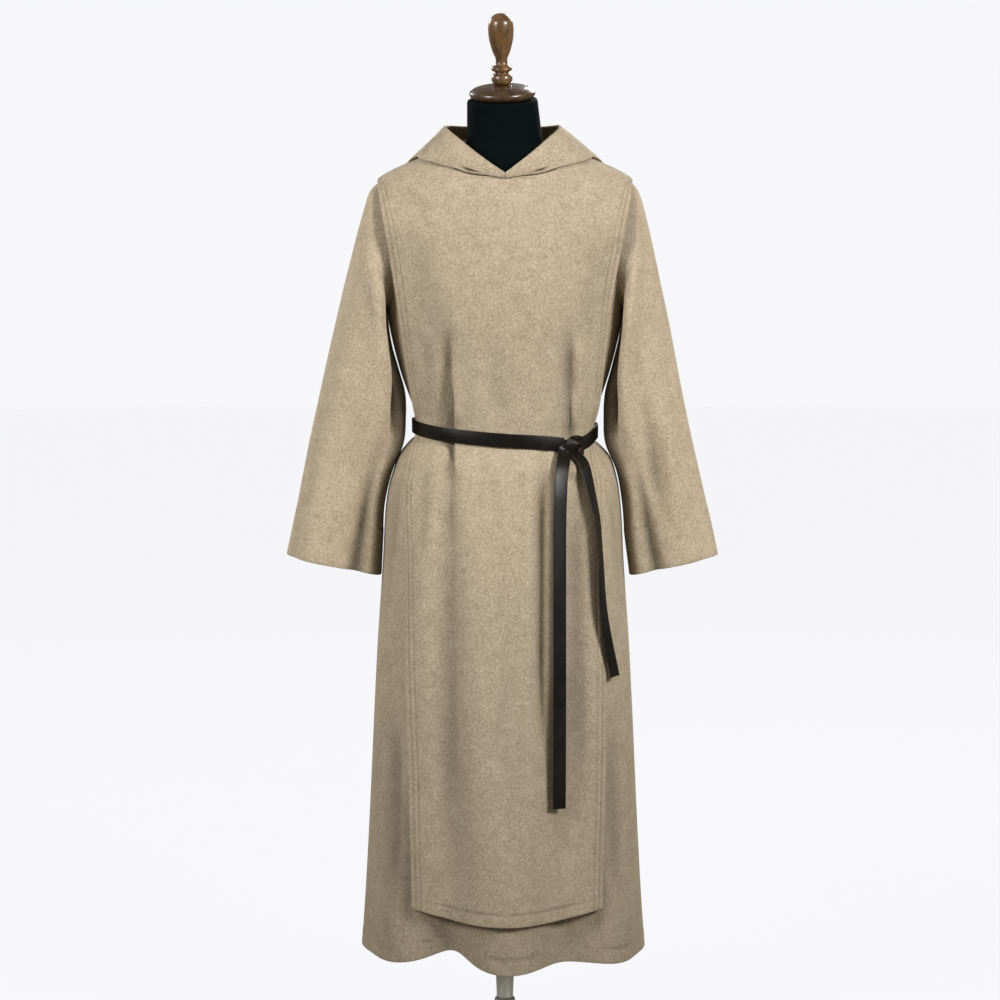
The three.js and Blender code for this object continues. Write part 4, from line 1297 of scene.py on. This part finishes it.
def scapular_panel(side, hand_folds, seed, tunic_tree):
    """One panel of the scapular, with its rows of stitches."""
    u = np.linspace(-1, 1, SCAPULAR_COLUMNS)
    coarse_rows = [1604, 1591, 1577, 1563, 1549, 1536, 1526, 1503]
    fine_rows = list(even_rows(1497, SCAPULAR_HEM, 5.4))
    stack = [scapular_points(u, row, side, SCAPULAR_CLOTH) for row in coarse_rows + fine_rows]
    coarse = np.stack([points for points, _ in stack])
    coarse_angle = np.stack([angle for _, angle in stack])
    top = np.linspace(0, len(coarse_rows) - 1, 4 * (len(coarse_rows) - 1) + 1)[:-1]
    places = np.concatenate([top, np.arange(len(coarse_rows) - 1, len(coarse))])
    points = spline(coarse, places)
    angle = spline(coarse_angle[..., None], places)[..., 0]
    lift = SCAPULAR_CORNER_RISE * u[None, :] ** 2
    points[..., 2] += lift * smoothstep(points[..., 2], SCAPULAR_HEM + 90, SCAPULAR_HEM)
    flip = side == "back"
    normals = grid_normals(points) * (-1 if flip else 1)
    x, z = points[..., 0], points[..., 2]
    push = creases(hand_folds, x, z) + unevenness(x, z, seed, 0.9) * smoothstep(z, 1560, 1480)
    push = np.where(push > 0, push * free_of_belt(angle, z), push)
    push = push * smoothstep(z, 1575, SHOULDER_CALM)
    points = moved(points, normals, push)
    from_hem = from_last_row(points)
    from_side = from_sides(points)
    sewn = 0.7 * turned_in(from_side, EDGE_STITCHES[1], 1, 2)
    sewn = np.maximum(sewn, 0.6 * turned_in(from_hem, SCAPULAR_HEM_DEPTH, 1, 2))
    points = moved(points, normals, sewn * free_of_belt(angle, z, 12, 16))
    points = kept_off(points, tunic_tree, SCAPULAR_CLOTH + LAYER_GAP)
    marks = stitch_lines(from_side, EDGE_STITCHES) + stitch_lines(from_hem, [SCAPULAR_HEM_DEPTH])
    # painted shade: the scapular's colour is darkened in its creases and towards the hem
    cloth = shell(
        f"scapular_{side}_cloth",
        points,
        SCAPULAR_CLOTH,
        WOOL_OVER,
        fields={"stitch_line": np.clip(marks, 0, 1), "fold_shade": fold_shade(push) + painted_falloff_shade(z)},
        flipped=flip,
    )
    placed(cloth, "wool", f"scapular_{side}")
    rows_of_stitches = []
    half = SCAPULAR_COLUMNS // 2
    for end, columns in (("right", slice(0, half)), ("left", slice(half, None))):
        for place in EDGE_STITCHES:
            part = slice(UNSEWN_ROWS, None), columns
            line = line_on(points[part], from_side[part], place, True)
            away = normals[UNSEWN_ROWS:, 3 if end == "right" else -4]
            name = f"scapular_{side}_{end}_{int(place)}"
            rows_of_stitches.append(stitches(name, line, away))
    line = line_on(points, from_hem, SCAPULAR_HEM_DEPTH, False)
    rows_of_stitches.append(stitches(f"scapular_{side}_hem", line, normals[-4]))
    sewn = placed(joined(f"scapular_{side}_stitches", rows_of_stitches), "wool")
    return cloth, sewn


# ---------------------------------------------------------------- hood

OVER_TUNIC = TUNIC_CLOTH + REST_GAP + SCAPULAR_CLOTH
HOOD_COLUMNS = 121
HOOD_ROWS = 70
RIM_DEPTH = 15


def hood_sections(side):
    """The hood's outer face: from the neck seam round the fold and up to the rim, by column."""
    degrees = np.linspace(0, 180, HOOD_COLUMNS)
    at = {key: along(HOOD, "angle", degrees, key) for key in HOOD if key != "angle"}
    seam_angle, fold_angle = np.radians(degrees), np.radians(at["foldAngle"])
    seam_height = crowded(np.full_like(degrees, TOP_ROW), seam_angle)
    seam = offset(tunic_inner, seam_angle, seam_height, OVER_TUNIC + 2 * REST_GAP)
    fold = offset(tunic_inner, fold_angle, at["foldHeight"], OVER_TUNIC + at["foldLift"])
    under = []
    for share in (0.25, 0.5, 0.75):
        lift = mix(2 * REST_GAP, at["foldLift"], share**1.2)
        angle = mix(seam_angle, fold_angle, share)
        height = mix(seam_height, at["foldHeight"], share)
        under.append(offset(tunic_inner, angle, height, OVER_TUNIC + lift))
    rim_angle = np.radians(at["rimAngle"])
    across = (at["rimRadius"] + side * NECK_SHIFT) * np.sin(rim_angle)
    rim_place = stacked(across, -at["rimRadius"] * np.cos(rim_angle), at["rimHeight"])
    over = (fold + rim_place) / 2
    swell = unit(over * [1, 1, 0])
    swell = unit(swell + [0, 0, 0.5])
    over = over + swell * at["puff"][:, None]
    stack = np.stack([seam, *under, fold, over, rim_place])
    places = np.concatenate([np.linspace(0, 4, 26)[:-1], np.linspace(4, 6, HOOD_ROWS - 25)])
    return spline(stack, places, centripetal=True), degrees, places


# Creases of the hood's outer layer: `place` counts from the fold at 4 to the rim at 6.
HOOD_CREASES = records("angle drift spread place0 place1 depth", [
    [13.5, 5, 3.0, 3.9, 4.42, -7.5],
    [38, 18, 7, 4.3, 5.9, -1.6],
    [58, 14, 8, 4.1, 5.8, -2.2],
    [104, 10, 10, 4.0, 5.9, -3.4],
    [126, 14, 9, 3.9, 5.8, -5.0],
    [146, 8, 9, 3.9, 5.6, 5.0],
    [163, -6, 8, 3.8, 5.7, -5.5],
    [176, 0, 8, 3.7, 5.4, 3.5],
])


def hood_half(side):
    """One half of the lowered hood, on its own side of the middle seam."""
    name = side_name(side)
    points, degrees, places = hood_sections(side)
    normals = grid_normals(points)
    push = np.zeros(points.shape[:2])
    for crease in HOOD_CREASES:
        t = (places[:, None] - crease["place0"]) / (crease["place1"] - crease["place0"])
        fade = smoothstep(t, 0, 0.4) * (1 - smoothstep(t, 0.6, 1))
        middle = crease["angle"] + crease["drift"] * t + 3 * side * (crease["angle"] > 90)
        push = push + crease["depth"] * fade * bell(degrees[None, :] - middle, crease["spread"])
    wave = unevenness(degrees[None, :] * 2.2, places[:, None] * 60, 71 + side, 0.9)
    push = push + wave * smoothstep(places[:, None], 3.8, 4.6)
    push = push * smoothstep(degrees[None, :], 0, 12) * smoothstep(180 - degrees[None, :], 0, 6)
    normals[:, [0, -1]] *= [0, 1, 1]
    normals = unit(normals)
    points = moved(points, normals, -push)
    from_rim = from_last_row(points)
    points[..., 0] = np.maximum(points[..., 0], SEAM_GAP / 2)
    middle_seam = np.clip(1 - arc_lengths(points[:, ::-1], 1)[:, ::-1] / 5, 0, 1)
    points = moved(points, normals, 0.8 * middle_seam)
    points[..., 0] = np.maximum(points[..., 0], SEAM_GAP / 2) * side
    doubled = 1.4 * turned_in(from_rim, RIM_DEPTH)
    # painted shade: the hood's colour is darkened in its creases and dimples
    cloth = shell(
        f"hood_{name}_cloth",
        points,
        HOOD_CLOTH * (1 - 0.5 * bell(places[:, None] - 4, 0.3)) + doubled,
        WOOL_HOOD,
        fields={"fold_shade": np.clip(-push / 6.5, 0, 1) ** 1.4},
        flipped=side > 0,
    )
    spots = np.empty(3 * len(cloth.data.vertices), np.float32)
    cloth.data.vertices.foreach_get("co", spots)
    spots[::3] = side * np.maximum(side * spots[::3], SEAM_GAP / 2 * MM)
    cloth.data.vertices.foreach_set("co", spots)
    cloth.data.update()
    return placed(cloth, "wool", f"hood_{name}")


# ---------------------------------------------------------------- belt

BELT_STEPS = 260
TAIL_STEPS = 120
SLANT_REACH = 40  # how far up the short end its slant is taken back
KNOT_STEPS = 60
KNOT_THICKNESS = 2.9


def belt_band():
    gap = (KNOT_HALF_WIDTH + SEAM_GAP) / KNOT_REACH
    angle = np.linspace(KNOT_ANGLE + gap, KNOT_ANGLE + 2 * math.pi - gap, BELT_STEPS)
    reach = SCAPULAR_CLOTH + BELT_CLEARANCE + BELT_THICKNESS / 2
    top = offset(scapular_hung, angle, belt_middle(angle) + BELT_WIDTH / 2, reach)
    low = offset(scapular_hung, angle, belt_middle(angle) - BELT_WIDTH / 2, reach)
    return placed(
        swept("belt_band_strap", (top + low) / 2, top - low, BELT_WIDTH, BELT_THICKNESS, LEATHER),
        "belt_leather",
        "belt_band",
    )


def belt_tail(name, rows, slant):
    """A hanging end of the belt. At its tip, one edge is longer than the other by the slant."""
    heights = rows["height"]
    height = np.linspace(heights[0], heights[-1], TAIL_STEPS)
    across = along(rows, "height", height, "across")
    half_width = along(SCAPULAR, "height", height, "halfWidth")
    angle = np.arcsin(across / half_width)
    off = along(rows, "height", height, "off")
    points = offset(scapular_hung, angle, height, SCAPULAR_CLOTH + off)
    turn = angle + np.radians(along(rows, "height", height, "turn"))
    widths = stacked(np.cos(turn), np.sin(turn), 0)
    strap = swept(f"{name}_strap", points, widths, BELT_WIDTH, BELT_THICKNESS, LEATHER)
    if slant:
        for vertex in strap.data.vertices:
            reach = (vertex.co.z / MM - heights[-1]) / SLANT_REACH
            if reach < 1:
                aside = (vertex.co.x / MM - across[-1]) / BELT_WIDTH
                vertex.co.z -= slant * MM * aside * (1 - max(reach, 0))
    return placed(strap, "belt_leather", name)


# Courses of the straps in the knot, from its middle: along the waist, off the scapular, and up,
# with the direction that the strap's face turns to, as parts of outwards and of up.
KNOT_COLUMNS = "along off up faceOut faceUp faceAlong width"
KNOT_OVER = table(KNOT_COLUMNS, [
    [20, 4.5, 5, 1, 0.1, 0.2, 20],
    [13, 8, 8.5, 0.9, 0.5, 0.1, 18],
    [4, 11, 11.5, 0.75, 0.8, 0, 16],
    [-5, 12.6, 9.5, 0.95, 0.6, -0.3, 16],
    [-10.5, 12, 2, 1, 0.1, -0.35, 18],
    [-12, 10.5, -7, 1, 0, -0.2, 20],
    [-11.5, 9.6, -14, 1, 0, -0.1, 22],
])
KNOT_UNDER = table(KNOT_COLUMNS, [
    [-20, 4.5, 1, 1, 0, -0.2, 20],
    [-10, 4.2, 0, 1, 0, 0, 19],
    [0, 5.0, -1.5, 1, -0.1, 0.1, 16],
    [8.5, 8.4, -0.5, 0.95, -0.2, 0.4, 14],
    [12.6, 11.6, -2, 0.8, -0.2, 0.8, 14],
    [13.8, 10.6, -8, 0.9, -0.3, 0.4, 17],
    [13.2, 8.4, -15, 1, -0.2, 0.1, 20],
])
KNOT_LOOP = table(KNOT_COLUMNS, [
    [10, 4.5, -10, 1, -0.3, 0.2, 11],
    [2.5, 8.5, -8, 0.9, -0.5, -0.1, 11],
    [-1.5, 11.2, -1, 1, 0, -0.3, 10.5],
    [1.5, 12.2, 6.5, 0.9, 0.6, -0.2, 10.5],
    [8.5, 10.5, 9, 0.8, 0.8, 0.3, 11],
    [14.5, 7, 4.5, 0.8, 0.3, 0.8, 12],
    [16.5, 4.4, -2, 1, -0.1, 0.6, 13],
])


def knot_strap(name, rows):
    """One course of the strap through the knot."""
    height = belt_middle(KNOT_ANGLE)
    centre = offset(scapular_hung, np.array([KNOT_ANGLE]), np.array([height]), SCAPULAR_CLOTH)[0]
    outwards = outward(scapular_hung, np.array([KNOT_ANGLE]), np.array([height]))[0]
    outwards = unit(outwards * [1, 1, 0])
    up = np.array([0, 0, 1.0])
    sideways = np.cross(up, outwards)
    middles = centre + sum(
        rows[key][:, None] * axis
        for key, axis in (("along", sideways), ("off", outwards), ("up", up))
    )
    faces = sum(
        rows[key][:, None] * axis
        for key, axis in (("faceOut", outwards), ("faceUp", up), ("faceAlong", sideways))
    )
    places = np.linspace(0, len(middles) - 1, KNOT_STEPS)
    middles, faces = spline(middles, places, True), spline(faces, places)
    width = spline(rows["width"][:, None], places)[:, 0]
    run = unit(np.gradient(middles, axis=0))
    return swept(name, middles, np.cross(faces, run), width, KNOT_THICKNESS, LEATHER)


def belt_knot():
    straps = [
        knot_strap("knot_over", KNOT_OVER),
        knot_strap("knot_under", KNOT_UNDER),
        knot_strap("knot_loop", KNOT_LOOP),
    ]
    return placed(joined("belt_knot_straps", straps), "belt_leather", "belt_knot")


# ---------------------------------------------------------------- dress form

FORM_COLUMNS = 128


def neck_top(x, y):
    return NECK_TOP + y * math.tan(CAP_TILT) - x * math.tan(CAP_LEAN)


def form_torso():
    """The padded form and its neck. Gives back its skin, for the tunic to keep off."""
    angle = np.linspace(0, 2 * math.pi, FORM_COLUMNS, endpoint=False)
    rows = []

    def skin(a, height):
        return ring(BODY, a, height)

    edge_roll = [(0.0, 6.0), (0.6, 3.4), (1.8, 1.4), (3.6, 0.4), (6, 0)]
    for drop, inset in edge_roll:
        reach = NECK_RADIUS - inset
        top = neck_top(reach * np.sin(angle), -reach * np.cos(angle)) - drop
        rows.append(offset(skin, angle, top, -REST_GAP - inset) + [NECK_SHIFT, 0, 0])
    top = neck_top(NECK_RADIUS * np.sin(angle), -NECK_RADIUS * np.cos(angle)) - edge_roll[-1][0]
    for share in np.linspace(0, 1, 26)[1:]:
        points = offset(skin, angle, mix(top, neckline_height(angle), share), -REST_GAP)
        rows.append(points + [NECK_SHIFT * (1 - share), 0, 0])
    for row in even_rows(1600, SHOULDER_TIP, 6):
        height = crowded(np.full_like(angle, row), angle)
        rows.append(offset(skin, angle, height, -REST_GAP))
    for row in even_rows(1526, FORM_BOTTOM, 12):
        rows.append(ring(FORM, angle, crowded(np.full_like(angle, row), angle)))
    grid = np.stack(rows)
    parts = [mesh_object("form_skin", grid.reshape(-1, 3), grid_faces(*grid.shape[:2], True), JERSEY)]
    for edge, order in ((grid[0], -1), (grid[-1], 1)):
        centre = edge.mean(axis=0)
        inner = edge * 0.4 + centre * 0.6
        lid = np.stack([edge, inner, centre + (inner - centre) * 0.02]).reshape(-1, 3)
        faces = grid_faces(3, FORM_COLUMNS, True)[:, ::order]
        parts.append(mesh_object("form_lid", lid, faces, JERSEY))
    placed(joined("form_cover", parts), "form_cover", "form_torso")
    return surface_tree(grid, True)


def lathed(name, profile, material, segments=96, place=(0, 0, 0), tilt=None, steps=6):
    """A turned piece, from a smooth profile of radius and height. Its heights stay in its range."""
    profile = np.array(profile, float)
    count = len(profile)
    fine = spline(profile, np.linspace(0, count - 1, steps * (count - 1) + 1), True)
    fine[:, 0] = np.maximum(fine[:, 0], 0.02)
    fine[:, 1] = np.clip(fine[:, 1], profile[:, 1].min(), profile[:, 1].max())
    turn = np.linspace(0, 2 * math.pi, segments, endpoint=False)
    grid = np.stack([stacked(r * np.cos(turn), r * np.sin(turn), z) for r, z in fine])
    vertices = grid.reshape(-1, 3)
    if tilt is not None:
        vertices = vertices @ np.array(tilt.to_matrix()).T
    vertices = vertices + np.array(place)
    return mesh_object(name, vertices, grid_faces(*grid.shape[:2], True)[:, ::-1], material)


CAP_HEIGHT = 24
CAP_PROFILE = [
    [0, 0],
    [30, 0],
    [49, 0],
    [51, 0.3],
    [54.6, 3],
    [57, 8],
    [56.2, 12.3],
    [54.4, 13.6],
    [53.8, 14.2],
    [50, 17],
    [44, 19.4],
    [36, 21.5],
    [26, 23],
    [18, CAP_HEIGHT],
    [8, CAP_HEIGHT],
    [0, CAP_HEIGHT],
]
FINIAL_PROFILE = [
    [0, 0],
    [8, 0],
    [13.5, 0.4],
    [17.3, 5],
    [18.2, 10],
    [16.6, 16],
    [13.0, 19.6],
    [12.4, 21],
    [13.0, 22.2],
    [17, 24],
    [18, 28],
    [16.4, 30.6],
    [13, 32.6],
    [10.6, 36],
    [10, 42],
    [11.2, 47],
    [13.5, 52],
    [16.4, 60],
    [18.6, 68],
    [20.6, 77],
    [21.6, 86],
    [21.8, 98],
    [19.4, 110],
    [12.6, 118],
    [6, 121],
    [0, 121.5],
]
BASE_PROFILE = [
    [0, 0],
    [100, 0],
    [176, 0],
    [179.4, 0.6],
    [180, 2],
    [180, 8],
    [179, 10.2],
    [176, 11],
    [130, 12.6],
    [90, 14],
    [64, 17.4],
    [46, 22],
    [34, 29.4],
    [27, 38],
    [22.4, 49],
    [20, 60],
    [18.8, 72],
    [18.4, 80],
    [18.2, 86],
    [17, HUB_TOP],
    [8, HUB_TOP],
    [0, HUB_TOP],
]


def stand():
    """The wooden cap and finial on the neck, and the base and pole under the form."""
    tilt = Euler((CAP_TILT, CAP_LEAN, 0), "XYZ")
    up = np.array(tilt.to_matrix()) @ np.array([0, 0, 1])
    foot = np.array([NECK_SHIFT, 0, NECK_TOP])
    cap = lathed("cap_turned", CAP_PROFILE, WALNUT, 128, foot + up * REST_GAP, tilt)
    placed(cap, "walnut", "neck_cap")
    seat = foot + up * (REST_GAP + CAP_HEIGHT + SEAM_GAP)
    finial = lathed("finial_turned", FINIAL_PROFILE, GOLDEN, 80, seat, tilt)
    placed(finial, "walnut", "finial")
    base = lathed("base_turned", BASE_PROFILE, BASE_STEEL, 128)
    placed(base, "stand_steel", "base")
    length = FORM_BOTTOM - HUB_TOP - 2 * SEAM_GAP
    ease = 1.2
    profile = [
        [0, 0],
        [POLE_RADIUS - ease, 0],
        [POLE_RADIUS, ease],
        [POLE_RADIUS, length / 2],
        [POLE_RADIUS, length - ease],
        [POLE_RADIUS - ease, length],
        [0, length],
    ]
    pole = lathed("pole_tube", profile, STEEL, 64, (0, 0, HUB_TOP + SEAM_GAP), None, 3)
    placed(pole, "stand_steel", "pole")


# ---------------------------------------------------------------- the object

form_tree = form_torso()
tunic, tunic_tree = {}, {}
for side, rows, seed in (("front", TUNIC_FRONT_CREASES, 11), ("back", TUNIC_BACK_CREASES, 12)):
    tunic[side], tunic_tree[side] = tunic_panel(side, rows, seed, form_tree)
sleeves = {side: sleeve(side) for side in (-1, 1)}
scapular = {
    "front": scapular_panel("front", SCAPULAR_FRONT_CREASES, 21, tunic_tree["front"]),
    "back": scapular_panel("back", SCAPULAR_BACK_CREASES, 22, tunic_tree["back"]),
}
hood = {side: hood_half(side) for side in (-1, 1)}
belt_band()
belt_tail("belt_tail_long", LONG_TAIL, 0)
belt_tail("belt_tail_short", SHORT_TAIL, 6)
belt_knot()
stand()


# ---------------------------------------------------------------- floor, light and camera


def studio():
    """A plain pale floor and a soft surrounding light."""
    profile = [[0, 0], [4000, 0], [9000, 0], [16000, 0]]
    floor = lathed("floor", profile, pale_material(), place=(0, 0, -1.2), steps=2)
    floor.visible_diffuse = floor.visible_glossy = False
    world = bpy.data.worlds.new("studio")
    bpy.context.scene.world = world
    world.use_nodes = True
    nodes, links = world.node_tree.nodes, world.node_tree.links
    nodes.clear()
    output = nodes.new("ShaderNodeOutputWorld")
    seen, lighting = (nodes.new("ShaderNodeBackground") for _ in range(2))
    seen.inputs["Color"].default_value = (0.930, 0.930, 0.947, 1)
    lighting.inputs["Color"].default_value = (1.0, 0.93, 0.82, 1)
    lighting.inputs["Strength"].default_value = 0.21
    which = nodes.new("ShaderNodeMixShader")
    ray = nodes.new("ShaderNodeLightPath")
    links.new(ray.outputs["Is Camera Ray"], which.inputs[0])
    links.new(lighting.outputs[0], which.inputs[1])
    links.new(seen.outputs[0], which.inputs[2])
    links.new(which.outputs[0], output.inputs[0])


def pale_material():
    n = Nodes("studio_floor")
    speck = n.noise(3, 2)
    colour = n.ramp(speck, [(0, (0.020, 0.020, 0.021)), (1, (0.024, 0.024, 0.025))])
    n.set(Roughness=0.9, Specular_IOR_Level=0.0, Emission_Strength=0.925)
    n.shader.inputs["Emission Color"].default_value = (0.98, 0.98, 1.0, 1)
    return n.finish(colour)


def softbox(name, place, target, size, power):
    light = bpy.data.lights.new(name, "AREA")
    light.shape = "RECTANGLE"
    light.size, light.size_y = size
    light.energy = power
    lamp = bpy.data.objects.new(name, light)
    lamp.location = Vector(place)
    lamp.rotation_euler = (Vector(target) - Vector(place)).to_track_quat("-Z", "Y").to_euler()
    bpy.context.scene.collection.objects.link(lamp)


studio()
CHEST = (0, 0, 1.25)
softbox("front_left", (2.9, -2.7, 3.0), CHEST, (1.3, 1.1), 165)
softbox("front_right", (-3.0, -2.6, 2.8), CHEST, (1.5, 1.3), 118)
softbox("back", (1.4, 3.6, 3.3), CHEST, (1.5, 1.3), 130)
softbox("back_right", (-2.6, 2.6, 3.0), CHEST, (1.5, 1.4), 50)

CAMERA_DISTANCE = 5000
CAMERA_DOWN = math.radians(6)
AIM = (-8.75, 0, 980)
SENSOR = 36.0
FOCAL_LENGTH = 102.857

camera_data = bpy.data.cameras.new("camera")
camera_data.sensor_width = SENSOR
camera_data.lens = FOCAL_LENGTH
camera_data.clip_end = 100
camera = bpy.data.objects.new("camera", camera_data)
aim = Vector(AIM) * MM
back = Vector((0, -math.cos(CAMERA_DOWN), math.sin(CAMERA_DOWN)))
camera.location = aim + back * CAMERA_DISTANCE * MM
camera.rotation_euler = (-back).to_track_quat("-Z", "Y").to_euler()
bpy.context.scene.collection.objects.link(camera)
bpy.context.scene.camera = camera
bpy.context.scene.view_settings.view_transform = "Standard"
